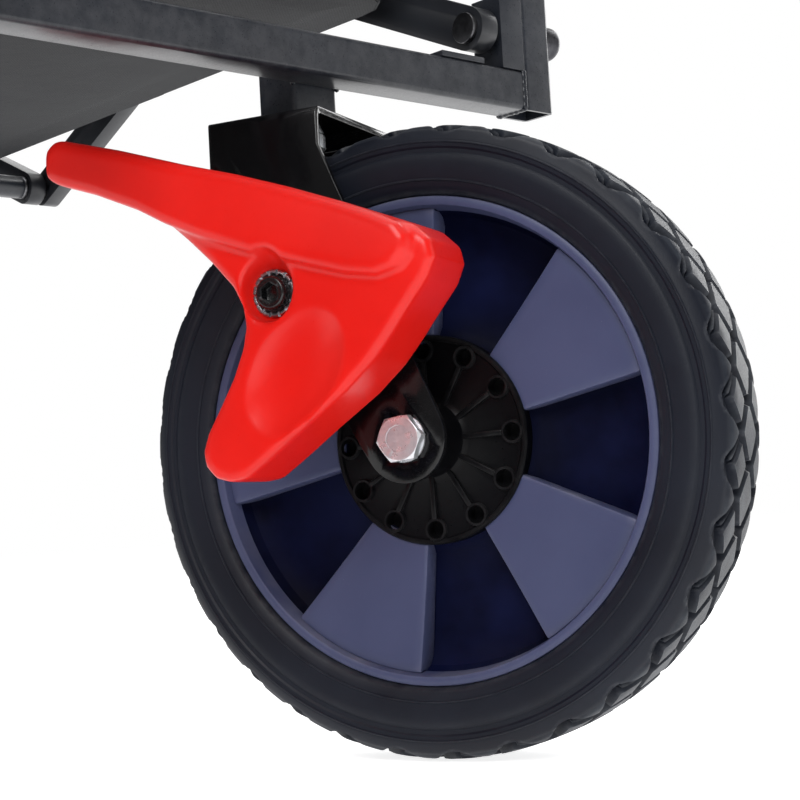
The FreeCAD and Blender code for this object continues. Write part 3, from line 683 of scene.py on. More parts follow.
def tyre_rubber():
    """Foamed rubber: matt skin with mould bloom and a little dust; the tread tops are painted lighter in patches
    as a painted highlight, and the grooves keep the darker skin as painted shade.
    """
    material, tree, shader = new_material("tyre_rubber")
    wire(tree, shader, Specular_IOR_Level=0.24)
    skin = effect(tree, "Mottle", Tone=rgb(0.0028, 0.0042, 0.0095), Second_Tone=rgb(0.0055, 0.0078, 0.0150),
                  Scale=16.0, Amount=1.0)
    # Painted highlight: the tread mask lightens the tread tops in patches towards a pale grey; the grooves stay
    # dark as painted shade.
    worn = add(tree, "Attribute", {}, attribute_name="tread").outputs["Fac"]
    patchy_tread_highlight = multiply(tree, worn, stretch_range(tree, noise(tree, 120.0, detail=5.0), 0.35, 0.7))
    tread_tone_with_highlight = mix(tree, multiply(tree, patchy_tread_highlight, 0.7), skin["Color"], rgb(0.034, 0.040, 0.050))
    edges = effect(tree, "Edge Wear", Color=tread_tone_with_highlight, Worn_Color=rgb(0.1, 0.105, 0.115), Amount=0.5,
                   Start=0.52)
    dusty = effect(tree, "Dust", Color=edges["Color"], Dust_Color=rgb(0.22, 0.23, 0.25), Amount=0.08)
    relief = effect(tree, "Grain", Scale=1900.0, Strength=0.22, Wave_Scale=110.0, Wave_Strength=0.05)
    base = stretch_range(tree, relief["Mask"], 0.3, 0.7, 0.42, 0.56)
    wire(tree, shader, Base_Color=dusty["Color"], Roughness=base, Normal=relief["Normal"])
    return material


def tub_cloth(name, tone, thread):
    """Coated polyester canvas: plain weave, faint creases, dusty hollows and a soft sheen."""
    material, tree, shader = new_material(name)
    wire(tree, shader, Specular_IOR_Level=0.15, Sheen_Weight=0.03, Sheen_Roughness=0.5)
    cloth = effect(tree, "Weave", Color=rgb(*tone), Thread_Color=rgb(*thread), Threads=1.0)
    tired = effect(tree, "Mottle", Tone=cloth["Color"], Second_Tone=rgb(*[0.7 * c for c in tone]), Scale=9.0,
                   Amount=0.5)
    dusty = effect(tree, "Dust", Color=tired["Color"], Dust_Color=rgb(0.3, 0.28, 0.26), Amount=0.18)
    creases = noise(tree, 22.0, detail=5.0, rough=0.6)
    woven = bump(tree, cloth["Height"], 0.5, 0.0004, bump(tree, creases, 0.35, 0.004))
    rough = stretch_range(tree, cloth["Height"], 0.0, 1.0, 0.85, 0.62)
    wire(tree, shader, Base_Color=dusty["Color"], Roughness=rough, Normal=woven)
    return material


# ---------------------------------------------------------------- wheels

RIM_R = 97.4
# The tread: grooves cross in a lattice that leaves rows of diamonds. Starts, ends and the
# shoulder line are distances from the tyre's middle plane.
TREAD_TOP = 126.6
TREAD_FOOT = 119.4
TREAD_PITCHES = 32
TREAD_PHASE = 0.26
STEPS_TO_A_PITCH = 26
LATTICE_START = 2.5
LATTICE_RISE = 9.1
GROOVE_DEEP = 3.4
GROOVE_HALF = 1.6
GROOVE_END = 21.4
GROOVE_REACH = 21.6
RIB_START = 12.6
RIB_END = 20.0
RIB_RISE = 2.6
SHOULDER_LINE = 19.7
FANS = 5
FAN_ANGLE = math.radians(37)
FIRST_FAN = math.radians(30.7)
POCKET_R = 92.6
POCKET_HALF = 10.5
DISC_R = 42.0
DISC_FACE = 13.5
BOSS_R = 14.0
BOSS_FACE = 32.5
LOCK_HOLES = 12
LOCK_CIRCLE = 36.0
LOCK_HOLE_R = 3.6
LOCK_HOLE_FLOOR = 7.5
BUSH_R = 8.0


def tread_line():
    """Half of the tread's section from the crown's middle to the shoulder: (radius, y) points."""
    step = 2 * LATTICE_RISE / STEPS_TO_A_PITCH
    across = [0.0, LATTICE_START / 2] + [LATTICE_START + count * step for count in range(28)]
    across += [22.0, 22.5, 22.9, 23.28]
    return [(TREAD_TOP - 0.5 * (y / 20) ** 2 - 7.0 * (y / 23.4) ** 8, y) for y in across]


def tyre_body():
    """Sidewalls with two fine raised lines and a shallow groove, and a full, unworn tread."""
    sidewall = [
        (RIM_R, 16.0), (RIM_R, 19.2), (98.0, 20.5), (99.2, 21.5), (101.0, 22.2), (102.6, 22.6),
        (102.9, 23.1), (103.4, 23.15), (103.7, 22.75), (106.5, 23.2), (109.5, 23.5), (112.6, 23.5),
        (113.4, 23.2), (114.0, 22.7), (115.6, 22.7), (116.4, 23.3), (117.7, 23.4), (118.0, 23.8),
        (118.4, 23.8), (118.7, 23.35),
    ]
    section = both_sides(sidewall + tread_line()[::-1])
    return turned("tyre", section, steps=TREAD_PITCHES * STEPS_TO_A_PITCH, closed=True)


def clamp(value):
    return min(1.0, max(0.0, value))


def trough(distance, half_width, slope=0.75):
    """One inside a groove, falling to nothing over its sloping side."""
    return clamp((half_width + slope - distance) / slope)


def off_whole(turns):
    """How far a number of turns is from the nearest whole one, with its sign."""
    return (turns + 0.5) % 1.0 - 0.5


def groove_depth(point):
    """How deep the grooves are here: a lattice that leaves diamonds, with a thin rib beside each."""
    across = abs(point.y)
    if math.hypot(point.x, point.z) < TREAD_FOOT or across > GROOVE_REACH:
        return 0.0
    turns = math.atan2(point.z, point.x) / FULL_TURN * TREAD_PITCHES - TREAD_PHASE
    pitch = FULL_TURN * TREAD_TOP / TREAD_PITCHES
    along = off_whole(turns) * pitch
    if across < LATTICE_START:
        return GROOVE_DEEP * trough(abs(along), 1.3)
    lean = (across - LATTICE_START) / (2 * LATTICE_RISE)
    normal = pitch * math.sin(math.atan2(LATTICE_RISE, pitch / 2))
    falling = off_whole(turns + lean) * normal
    rising = abs(off_whole(turns - lean)) * normal
    ends = clamp((GROOVE_END - 0.045 * along ** 2 - across) / 0.7)
    lattice = GROOVE_DEEP * max(trough(abs(falling), GROOVE_HALF), trough(rising, GROOVE_HALF)) * ends
    if RIB_START < across < RIB_END and rising > 2.2:
        lattice -= RIB_RISE * trough(abs(falling + 0.35), 0.35, 0.4)
    shoulder_line = 0.5 * trough(abs(across - SHOULDER_LINE), 0.15, 0.5)
    return max(0.0, lattice, shoulder_line)


def tyre():
    """The tyre with its lattice of grooves pressed in to the full tread."""
    body = tyre_body()

    def press(point):
        depth = groove_depth(point)
        if depth == 0.0:
            return point
        out = Vector((point.x, 0, point.z)).normalized()
        side = 1.6 * (abs(point.y) / 23.4) ** 6
        push = (out + Vector((0, math.copysign(side, point.y), 0))).normalized()
        return point - push * depth

    places = [point.co.copy() for point in body.data.vertices]
    reshape(body, press)
    edit(body)
    select_whole()
    bpy.ops.mesh.quads_convert_to_tris(quad_method="SHORTEST_DIAGONAL")
    close_edit()
    # The tread mask for the painted highlight on the tread tops; it fades out down the groove walls, leaving the
    # grooves dark as painted shade.
    attribute = body.data.attributes.new("tread", "FLOAT", "POINT")
    for value, place in zip(attribute.data, places):
        top = clamp((20.2 - abs(place.y)) / 0.7)
        top *= clamp((math.hypot(place.x, place.z) - 119.5) / 2)
        value.value = top * (1 - 0.8 * min(1.0, groove_depth(place) / GROOVE_DEEP))
    return body


def rim_shell():
    """Barrel with a rounded lip each side, and the thin dished web of the pockets."""
    face = [
        (RIM_R, 0.0), (RIM_R, 18.6), (97.0, 19.6), (96.2, 20.0), (94.6, 20.0), (93.6, 19.6),
        (93.1, 18.6), (92.2, 12.0), (90.2, 7.4), (86.0, 4.6), (76.0, 3.6), (58.0, 3.5), (46.0, 4.2),
        (42.6, 6.4), (40.5, 9.0), (40.0, 9.0),
    ]
    return turned("rim_shell", both_sides(face), steps=120, closed=True)


def fan(outer_face):
    """One raised fan: flat near the hub disc, dished towards the barrel, with chamfered sides."""
    side = -1 if outer_face else 1
    top = [(39.0, 11.4), (44.0, 12.2), (60.0, 13.2), (76.0, 14.6), (88.0, 16.0), (92.8, 16.6)]
    foot = [(93.2, 4.0), (39.0, 3.0)]
    turn = Matrix.Rotation(FAN_ANGLE / 2, 3, "Y")
    piece = draw("fan", [turn @ Vector((r, side * y, 0)) for r, y in top + foot])
    bpy.ops.mesh.edge_face_add()
    sweep(12, FAN_ANGLE)
    tidy_skin()
    close_edit()
    round_edges(piece, 1.1, segments=2, angle=40)
    return piece


def fans():
    """Five fans on each face; the first stands above the level line at the front."""
    both = put_together("fans", [fan(True), fan(False)])
    turn_about_y(both, -FIRST_FAN)
    ring_of(both, FANS)
    return both


def rim():
    return put_together("rim", [rim_shell(), fans()])


def hub_disc():
    """Black disc with a raised edge, ribs out from the boss, and a collared lock hole at each rib."""
    near = [(BUSH_R, BOSS_FACE), (BOSS_R - 1, BOSS_FACE), (BOSS_R, BOSS_FACE - 1), (BOSS_R, 16.0),
            (BOSS_R + 1.2, 14.0), (BOSS_R + 3.5, 12.9), (39.4, 12.7), (40.0, DISC_FACE),
            (DISC_R - 0.6, DISC_FACE), (DISC_R, DISC_FACE - 0.8), (DISC_R, 8.0)]
    disc = turned("hub_disc", both_sides(near), closed=True)
    hole = drum("hole", LOCK_HOLE_R, -DISC_FACE - 2, -LOCK_HOLE_FLOOR, (LOCK_CIRCLE, 0), vertices=24)
    ring_of(hole, LOCK_HOLES)
    cut_away(disc, hole)
    collar = turned("collar", [(LOCK_HOLE_R, -12.5), (LOCK_HOLE_R, -14.0), (LOCK_HOLE_R + 0.9, -14.0),
                               (LOCK_HOLE_R + 1.3, -12.5)], steps=20, closed=True)
    shift(collar, LOCK_CIRCLE, 0)
    rib = block("rib", (BOSS_R, -14.4, -1.1), (LOCK_CIRCLE - LOCK_HOLE_R - 0.6, -12.4, 1.1))
    round_edges(rib, 0.5)
    spoke = put_together("spoke", [collar, rib])
    ring_of(spoke, LOCK_HOLES)
    whole = put_together("hub_disc", [disc, spoke])
    turn_about_y(whole, -math.atan2(PEDAL_PIVOT[1], PEDAL_PIVOT[0]))
    return whole


# ---------------------------------------------------------------- casters

FORK_HALF = 36.5
FORK_SHEET = 3.0
FORK_TOP = 137.0
FORK_FRONT_X = -83.6
FORK_BACK_X = -31.3
FORK_FRONT_BEND = 112.0
FORK_BACK_BEND = 121.0
FOOT_R = 17.4
AXLE_R = 5.0
AXLE_HEX_R = 9.8
AXLE_HEAD = 5.3
AXLE_NUT = 8.0
AXLE_TAIL = 4.0
# The pedal: its pivot in (x, z) from the axle, and its planes' distances from the wheel's middle.
PEDAL_PIVOT = (-35.0, 57.5)
PEDAL_BACK = 44.0
PEDAL_WEB = 76.6
PEDAL_FACE = 81.6
RECESS_FLOOR = 69.0
PIN_R = 4.0


def foot_tangent(point, side):
    """Angle at which a straight edge from the point touches the round foot."""
    away = math.hypot(*point)
    return math.atan2(point[1], point[0]) - side * math.acos(FOOT_R / away)


def leg_outline(front, back):
    """Crown at the top, straight slanting edges, and a round foot about the axle."""
    start = foot_tangent(back, 1)
    end = foot_tangent(front, -1) - FULL_TURN
    steps = 18
    foot = [start + (end - start) * k / steps for k in range(steps + 1)]
    arc = [(FOOT_R * math.cos(a), FOOT_R * math.sin(a)) for a in foot]
    return [(front[0], FORK_TOP), (back[0], FORK_TOP), back] + arc + [front]


def bend_edges(piece, front):
    """Rounds the outer folds, where the sheet turns from crown and front web into the legs."""
    def on_fold(start, end):
        along_side = min(abs(start.y), abs(end.y)) > FORK_HALF - 0.1 and abs(start.y - end.y) < 1
        crown = min(start.z, end.z) > FORK_TOP - 0.1
        web = max(start.x, end.x) < front + 0.1
        return along_side and (crown or web)
    edit(piece)
    pick_edges(piece, on_fold)
    bpy.ops.mesh.bevel(offset=4.0, segments=5)
    close_edit()


def caster_fork():
    outline = leg_outline((FORK_FRONT_X, FORK_FRONT_BEND), (FORK_BACK_X, FORK_BACK_BEND))
    shell = cut_out("caster_fork", outline, -FORK_HALF, FORK_HALF)
    bend_edges(shell, FORK_FRONT_X)
    inner = FORK_HALF - FORK_SHEET
    inside = block("inside", (FORK_FRONT_X + FORK_SHEET, -inner, -60), (60, inner, FORK_TOP - FORK_SHEET))
    round_edges(inside, 1.6, segments=3)
    cut_away(shell, inside, drum("axle_hole", AXLE_R + 0.2, -50, 50),
             drum("pivot_hole", PIN_R + 0.2, -50, 0, PEDAL_PIVOT))
    round_edges(shell, 0.7, segments=2, angle=40)
    return shell


def hexagon(name, radius, near, far, turn=0.0):
    """A hexagon bar along Y with its outer corners chamfered round."""
    piece = drum(name, radius, near, far, vertices=6)
    turn_about_y(piece, turn)
    low, high = min(near, far), max(near, far)
    depth = high - low
    chamfer = [(0, low), (radius * 0.85, low), (radius * 1.02, low + depth * 0.22),
               (radius * 1.02, high - 0.3), (radius * 0.99, high), (0, high)]
    combine(piece, "INTERSECT", turned("chamfer", chamfer, steps=48))
    return piece


def axle_bolt():
    face = -FORK_HALF - AXLE_HEAD
    head = hexagon("axle_bolt", AXLE_HEX_R, face, -FORK_HALF - 0.9, turn=math.radians(24))
    dish = turned("dish", [(0, face - 1), (5.6, face - 1), (5.2, face + 0.35), (0, face + 0.5)], steps=40)
    cut_away(head, dish)
    flange = drum("flange", AXLE_HEX_R - 0.6, -FORK_HALF - 0.9, -FORK_HALF, vertices=40)
    shank = drum("shank", AXLE_R, -FORK_HALF - 0.5, FORK_HALF + AXLE_NUT + AXLE_TAIL, vertices=32)
    round_edges(head, 0.25, segments=2, angle=20)
    round_edges(shank, 0.8, segments=1)
    return put_together("axle_bolt", [head, flange, shank] + threads(FORK_HALF + AXLE_NUT, AXLE_TAIL))


def threads(start, length):
    """Fine rings for the thread that shows past the nut."""
    pitch = 1.2
    count = int(length / pitch)
    rings = []
    for k in range(count):
        y = start + pitch * (k + 0.2)
        crest = [(AXLE_R - 0.1, y), (AXLE_R + 0.1, y + pitch / 2), (AXLE_R - 0.1, y + pitch)]
        rings.append(turned("thread", crest, steps=32))
    return rings


def axle_nut():
    nut = hexagon("axle_nut", AXLE_HEX_R, FORK_HALF + AXLE_NUT, FORK_HALF + 0.8)
    round_edges(nut, 0.25, segments=2, angle=20)
    washer = turned("washer", [(AXLE_R, FORK_HALF), (AXLE_HEX_R - 0.4, FORK_HALF),
                               (AXLE_HEX_R - 0.4, FORK_HALF + 0.8), (AXLE_R, FORK_HALF + 0.8)],
                    steps=40, closed=True)
    return put_together("axle_nut", [nut, washer])


# Side view of the pedal. The web and the bar share the bar's tip, its top and its underside.
BAR_TOP = [
    (-133.0, 113.4), (-132.8, 125.0), (-127.0, 129.2), (-98.0, 120.8), (-68.0, 110.8), (-45.0, 103.8),
    (-23.0, 96.2), (0.0, 87.4),
]
BAR_UNDERSIDE = [(-78.0, 88.8), (-90.0, 95.6), (-110.0, 104.4), (-126.0, 110.0)]
PEDAL_OUTLINE = BAR_TOP + [
    (16.0, 80.8), (26.6, 76.2), (33.2, 69.8), (34.6, 63.2), (31.2, 55.6), (22.2, 44.8), (15.5, 36.4),
    (7.5, 27.4), (-4.0, 17.6), (-22.5, 5.2), (-37.5, -5.2), (-48.5, -12.4), (-56.0, -13.4), (-62.4, -11.6),
    (-66.7, -6.8), (-67.4, -0.8), (-64.8, 6.2), (-59.2, 15.0), (-52.2, 26.6), (-47.6, 37.2), (-45.8, 45.2),
    (-46.6, 52.6), (-50.4, 60.8), (-59.6, 71.4), (-69.6, 81.2),
] + BAR_UNDERSIDE
PEDAL_BAR = BAR_TOP + [
    (14.0, 81.4), (22.6, 77.0), (26.8, 71.0), (26.0, 64.8), (21.4, 60.2), (13.0, 58.2), (0.0, 60.4),
    (-15.0, 65.0), (-41.0, 73.2), (-61.0, 80.8),
] + BAR_UNDERSIDE
PEDAL_VOXEL = 1.15
PEDAL_SOFTENING = 5


def dish_tool(centre, radii, lean):
    """A flattened ball that scoops the web; lean turns it about Y."""
    clear_selection()
    bpy.ops.mesh.primitive_uv_sphere_add(segments=48, ring_count=24, radius=1)
    piece = named("dish_tool")
    turn = Matrix.Rotation(lean, 3, "Y")
    stretch = Matrix.Diagonal(radii)
    reshape(piece, lambda p: turn @ (stretch @ p) + Vector(centre))
    return piece


def lean_recess(point):
    """The recess opens out upwards and back from the screw, as an oval."""
    out = (-RECESS_FLOOR - point.y) / (PEDAL_FACE - RECESS_FLOOR)
    return Vector((point.x * (1 - 0.12 * out) - 0.5 * out, point.y, point.z * (1 + 0.1 * out) + 2.2 * out))


def brake_pedal():
    """Moulded foot bar, web and tail, welded into one skin and softened as a moulding."""
    web = cut_out("brake_pedal", PEDAL_OUTLINE, -PEDAL_WEB, -PEDAL_BACK)
    round_edges(web, 3.2, segments=3, angle=50)
    bar = cut_out("bar", PEDAL_BAR, -PEDAL_FACE, -PEDAL_BACK - 6)
    round_edges(bar, 3.4, segments=3, angle=50)
    combine(web, "UNION", bar)
    scoop = dish_tool((-25.0, -PEDAL_WEB - 10.0, 26.0), (25.0, 14.5, 38.0), math.radians(38))
    recess = turned("recess", [(0, -PEDAL_FACE - 2), (14.6, -PEDAL_FACE - 2), (12.9, -PEDAL_FACE + 4.0),
                               (9.9, -RECESS_FLOOR), (0, -RECESS_FLOOR)], steps=64)
    reshape(recess, lean_recess)
    shift(recess, *PEDAL_PIVOT)
    cut_away(web, scoop, recess)
    apply_modifier(web, "REMESH", mode="VOXEL", voxel_size=PEDAL_VOXEL, adaptivity=0.0)
    apply_modifier(web, "SMOOTH", factor=0.5, iterations=PEDAL_SOFTENING)
    boss = drum("boss", 13.0, -FORK_HALF - 0.4, -PEDAL_BACK - 1, PEDAL_PIVOT)
    round_edges(boss, 1.0)
    cut_away(web, drum("bore", PIN_R + 0.2, -RECESS_FLOOR - 3, -PEDAL_BACK + 2, PEDAL_PIVOT, vertices=32))
    return put_together("brake_pedal", [web, boss])


def pedal_washer():
    """Serrated ring under the pedal's screw."""
    seat = -RECESS_FLOOR - 0.1
    ring = turned("pedal_washer", [(5.0, seat), (9.2, seat), (9.2, seat - 1.6), (8.7, seat - 2.1),
                                   (7.8, seat - 1.8), (7.0, seat - 0.8), (5.0, seat - 0.6)], steps=72,
                  closed=True)
    notch = block("notch", (7.2, seat - 3, -0.5), (10.5, seat - 0.7, 0.5))
    ring_of(notch, 14)
    cut_away(ring, notch)
    round_edges(ring, 0.2, segments=1, angle=35)
    shift(ring, *PEDAL_PIVOT)
    return ring


def pedal_screw():
    """Dark socket screw with a hexagon socket, and its shoulder through pedal and fork."""
    seat = -RECESS_FLOOR - 0.1
    top = seat - 5.0
    head = turned("pedal_screw", [(0, seat), (6.5, seat), (6.5, top + 1.0), (5.6, top), (0, top)], steps=48)
    cut_away(head, drum("socket", 4.0, top - 1, top + 4.2, vertices=6))
    round_edges(head, 0.25, segments=2, angle=40)
    shank = drum("shank", PIN_R, seat, -FORK_HALF + FORK_SHEET, vertices=32)
    whole = put_together("pedal_screw", [head, shank])
    shift(whole, *PEDAL_PIVOT)
    return whole


# ---------------------------------------------------------------- frame of square tube

# Square tubes, posts and rails; the cart's middle plane is y = 0 and the ground is z = 0.
TUBE = 18.0
TUBE_WALL = 1.6
TUBE_CORNER = 2.2
STEM = 24.0
STEM_WALL = 2.0
POST_X = 400.0
POST_Y = 311.0
POST_FACE = 302.0
FRAME_BOTTOM = 280.0
FRAME_TOP = 720.0
RAIL_Z = 289.0
TOP_RAIL_Z = 711.0
PIN_Z = 316.0
STEM_FOOT = 266.0


def box_tube(name, side, wall, start, end):
    """Square tube with rounded corners and open ends, along the axis from start to end."""
    half = [0 if a != b else side / 2 for a, b in zip(start, end)]
    low = [min(a, b) - h for a, b, h in zip(start, end, half)]
    high = [max(a, b) + h for a, b, h in zip(start, end, half)]
    along = (Vector(end) - Vector(start)).normalized()
    tube = block(name, low, high)
    edit(tube)
    pick_edges(tube, lambda a, b: abs((a - b).normalized().dot(along)) > 0.99)
    bpy.ops.mesh.bevel(offset=TUBE_CORNER, segments=4)
    pick_faces(tube, lambda centre, normal: abs(normal.dot(along)) > 0.99)
    bpy.ops.mesh.delete(type="FACE")
    close_edit()
    apply_modifier(tube, "SOLIDIFY", thickness=wall, offset=-1, use_even_offset=True)
    return tube


def weld_bead(corners, size):
    """A lumpy bead along a chain of points: overlapping drops, melted into one skin."""
    drops = []
    for start, end in zip(corners, corners[1:]):
        start, end = Vector(start), Vector(end)
        count = max(2, int((end - start).length / (size * 0.62)))
        for k in range(count):
            sway = 0.22 * size * math.sin(2.3 * len(drops))
            place = start.lerp(end, k / count) + Vector((sway, 0.5 * sway, -sway)) * 0.35
            clear_selection()
            bpy.ops.mesh.primitive_ico_sphere_add(subdivisions=2, location=place,
                                                  radius=size * (1 + 0.12 * math.sin(1.7 * k)))
            drops.append(named("drop"))
            apply_place()
    bead = put_together("weld_bead", drops)
    apply_modifier(bead, "REMESH", mode="VOXEL", voxel_size=size * 0.3)
    apply_modifier(bead, "SMOOTH", factor=0.5, iterations=3)
    return bead


def square_loop(centre, half, axis):
    """Corners of a square about the centre, square to the X, Y or Z axis, closed."""
    first, second = [unit for k, unit in enumerate(((1, 0, 0), (0, 1, 0), (0, 0, 1))) if "XYZ"[k] != axis]
    turns = [(-1, -1), (1, -1), (1, 1), (-1, 1), (-1, -1)]
    return [Vector(centre) + Vector(first) * a * half + Vector(second) * b * half for a, b in turns]


def rail(name, x, z):
    tube = box_tube(name, TUBE, TUBE_WALL, (x, -POST_FACE, z), (x, POST_FACE, z))
    beads = [weld_bead(square_loop((x, side * (POST_FACE - 0.6), z), TUBE / 2 - 0.6, "Y"), 1.5)
             for side in (1, -1)]
    return put_together(name, [tube] + beads)


def pair_of_posts(name, x):
    posts = []
    for side in (1, -1):
        y = side * POST_Y
        post = box_tube(name, TUBE, TUBE_WALL, (x, y, FRAME_BOTTOM), (x, y, FRAME_TOP))
        hole = drum("pin_hole", PIN_R + 0.1, y - TUBE, y + TUBE, (x, PIN_Z), vertices=24)
        cut_away(post, hole)
        posts.append(post)
    return put_together(name, posts)


def post_caps(name, x):
    """Domed plastic caps with a plug in each post."""
    caps = []
    for side in (1, -1):
        y = side * POST_Y
        half = TUBE / 2
        lid = block("lid", (x - half, y - half, FRAME_TOP), (x + half, y + half, FRAME_TOP + 3))
        edit(lid)
        pick_edges(lid, lambda a, b: abs(a.z - b.z) > 1)
        bpy.ops.mesh.bevel(offset=TUBE_CORNER, segments=4)
        pick_faces(lid, lambda centre, normal: normal.z > 0.9)
        bpy.ops.mesh.inset(thickness=1.6)
        bpy.ops.mesh.inset(thickness=2.0, depth=-0.4)
        close_edit()
        round_edges(lid, 0.5, segments=2, angle=35)
        inner = half - TUBE_WALL - 0.1
        plug = block("plug", (x - inner, y - inner, FRAME_TOP - 12), (x + inner, y + inner, FRAME_TOP))
        round_edges(plug, 0.8)
        caps += [lid, plug]
    return put_together(name, caps)


def stems():
    """The casters' square sockets under the front rail, with a weld where they meet it."""
    swivel = joint_point("left_swivel") / MM
    made = []
    for side in (1, -1):
        x, y = swivel.x, side * swivel.y
        made.append(box_tube("stem", STEM, STEM_WALL, (x, y, STEM_FOOT), (x, y, FRAME_BOTTOM + TUBE)))
        seam = [(POST_X - TUBE / 2, y - STEM / 2, FRAME_BOTTOM + 0.5), (POST_X - TUBE / 2, y - STEM / 2, 296),
                (POST_X - TUBE / 2, y - STEM / 2, FRAME_BOTTOM + 0.5)]
        other = [(px, py + STEM, pz) for px, py, pz in seam]
        made += [weld_bead(seam, 1.2), weld_bead(other, 1.2)]
    return put_together("caster_stems", made)


# ---------------------------------------------------------------- softened CAD parts

def finished(node, width):
    """A merged copy of a CAD part with its sharp edges eased, which stands for the part."""
    source = frame["nodes"][node]
    piece = source.copy()
    piece.data = source.data.copy()
    piece.parent = None
    piece.matrix_world = Matrix.Identity(4)
    piece.hide_render = False
    piece.hide_viewport = False
    for key in list(piece.keys()):
        del piece[key]
    bpy.context.scene.collection.objects.link(piece)
    piece.name = node + "_eased"
    piece.data.name = piece.name
    edit(piece)
    select_whole()
    bpy.ops.mesh.remove_doubles(threshold=0.00001)
    bpy.ops.mesh.dissolve_limited(angle_limit=math.radians(1))
    close_edit()
    round_edges(piece, width * MM)
    take(piece)
    bpy.ops.object.shade_smooth_by_angle(angle=math.radians(30))
    return piece


# ---------------------------------------------------------------- fabric tub

TUB_LOW, TUB_HIGH = (Vector(corner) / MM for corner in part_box("fabric_tub"))
TUB_SIZE = TUB_HIGH - TUB_LOW
THREAD = 0.9
TUB_CORNER = 30.0
TUB_SKIN = 1.2
TUB_EDGE = 1.8
HALF_X = TUB_SIZE.x / 2 - TUB_EDGE
HALF_Y = TUB_SIZE.y / 2 - TUB_EDGE
FLOOR_ALONG = 46
FLOOR_ACROSS = 32
WALL_STEPS = 22
HEM_DEEP = 28.0
BINDING_HIGH = 22.0
BAND_HALF = 17.0
BAND_X = 158.0
LOOP_Y = 150.0
LOOP_WIDE = 38.0
STITCH_STEP = 7.5


def tub_rim_point(x, y):
    """Draws the square corners of the cut in to round ones; also gives the way out of the cloth."""
    core = Vector((max(-HALF_X + TUB_CORNER, min(HALF_X - TUB_CORNER, x)),
                   max(-HALF_Y + TUB_CORNER, min(HALF_Y - TUB_CORNER, y)), 0))
    a, b = (x - core.x) / TUB_CORNER, (y - core.y) / TUB_CORNER
    bent = Vector((a * math.sqrt(1 - b * b / 2), b * math.sqrt(1 - a * a / 2), 0))
    out = bent.normalized() if bent.length > 0.01 else Vector()
    return core + bent * TUB_CORNER, out


def hang(point):
    """Where a point of the flat-sided tub comes to when the cloth hangs and sags."""
    height = point.z / TUB_SIZE.z
    place, out = tub_rim_point(point.x, point.y)
    x, y, z = point
    from_corner = (TUB_SIZE.x / 2 - abs(x)) / 150 if abs(out.y) > 0.5 else (TUB_SIZE.y / 2 - abs(y)) / 120
    slack = math.sin(math.pi * min(1.0, height * 1.02)) ** 0.8
    folds = math.sin(0.047 * (x + y) + 0.011 * z) + 0.6 * math.sin(0.083 * (x - y) - 0.027 * z)
    puckers = max(0.0, height - 0.78) / 0.22 * (1 - height) * 4
    lean = slack * (1.5 + 4.5 * clamp(from_corner) + 1.1 * folds)
    lean += puckers * (1 + math.sin(0.21 * (x + y)))
    if out.length < 0.5:
        edge = max(abs(x) / (TUB_SIZE.x / 2), abs(y) / (TUB_SIZE.y / 2))
        rise = 5.0 * edge ** 6 + 0.7 * (1 + math.sin(0.03 * x) * math.sin(0.037 * y))
        return Vector((place.x, place.y, TUB_EDGE + rise))
    near_floor = 1 - min(1.0, height * 12)
    low_fold = 6.0 * near_floor ** 2
    up = z * (1 - 2 * TUB_EDGE / TUB_SIZE.z) + (5.0 * near_floor + TUB_EDGE)
    return place - out * (max(0.0, lean) + low_fold) + Vector((0, 0, up))


def flat_sided_tub():
    """A gridded floor with its rim drawn up step by step in to four walls."""
    clear_selection()
    bpy.ops.mesh.primitive_grid_add(x_subdivisions=FLOOR_ALONG, y_subdivisions=FLOOR_ACROSS, size=1)
    piece = named("tub_cloth")
    piece.scale = (2 * HALF_X, 2 * HALF_Y, 1)
    apply_place()
    edit(piece)
    pick_edges(piece, lambda a, b: abs(a.x + b.x) > 2 * HALF_X - 0.1
               or abs(a.y + b.y) > 2 * HALF_Y - 0.1)
    for _ in range(WALL_STEPS):
        pull((0, 0, TUB_SIZE.z / WALL_STEPS))
    close_edit()
    return piece


def lay_threads(piece):
    """The cloth's own map, in threads: along and up on the walls, along and across on the floor."""
    layer = piece.data.uv_layers.new(name="cloth")
    points = piece.data.vertices
    for face in piece.data.polygons:
        sides = [abs(part) for part in face.normal]
        across = sides.index(max(sides))
        along, up = [(1, 2), (0, 2), (0, 1)][across]
        for loop in face.loop_indices:
            place = points[piece.data.loops[loop].vertex_index].co
            layer.data[loop].uv = (place[along] / THREAD, place[up] / THREAD)


def piece_of_cloth(shell, name, test, out, thick):
    """A second layer sewn on the cloth: the part of the shell that passes the test, moved outwards."""
    piece = copy_of(shell, name)
    edit(piece)
    pick_faces(piece, lambda centre, normal: not test(centre))
    bpy.ops.mesh.delete(type="FACE")
    select_whole()
    bpy.ops.transform.shrink_fatten(value=out)
    close_edit()
    lay_threads(piece)
    apply_modifier(piece, "SOLIDIFY", thickness=thick, offset=0)
    round_edges(piece, 0.3, segments=1, angle=50)
    return piece


def stitch():
    clear_selection()
    bpy.ops.mesh.primitive_cylinder_add(vertices=6, radius=0.42, depth=4.2, rotation=(0, math.pi / 2, 0))
    piece = named("stitch")
    apply_place()
    edit(piece)
    pick_faces(piece, lambda centre, normal: abs(normal.x) > 0.9)
    bpy.ops.mesh.inset(thickness=0.18, depth=0.3)
    close_edit()
    return piece


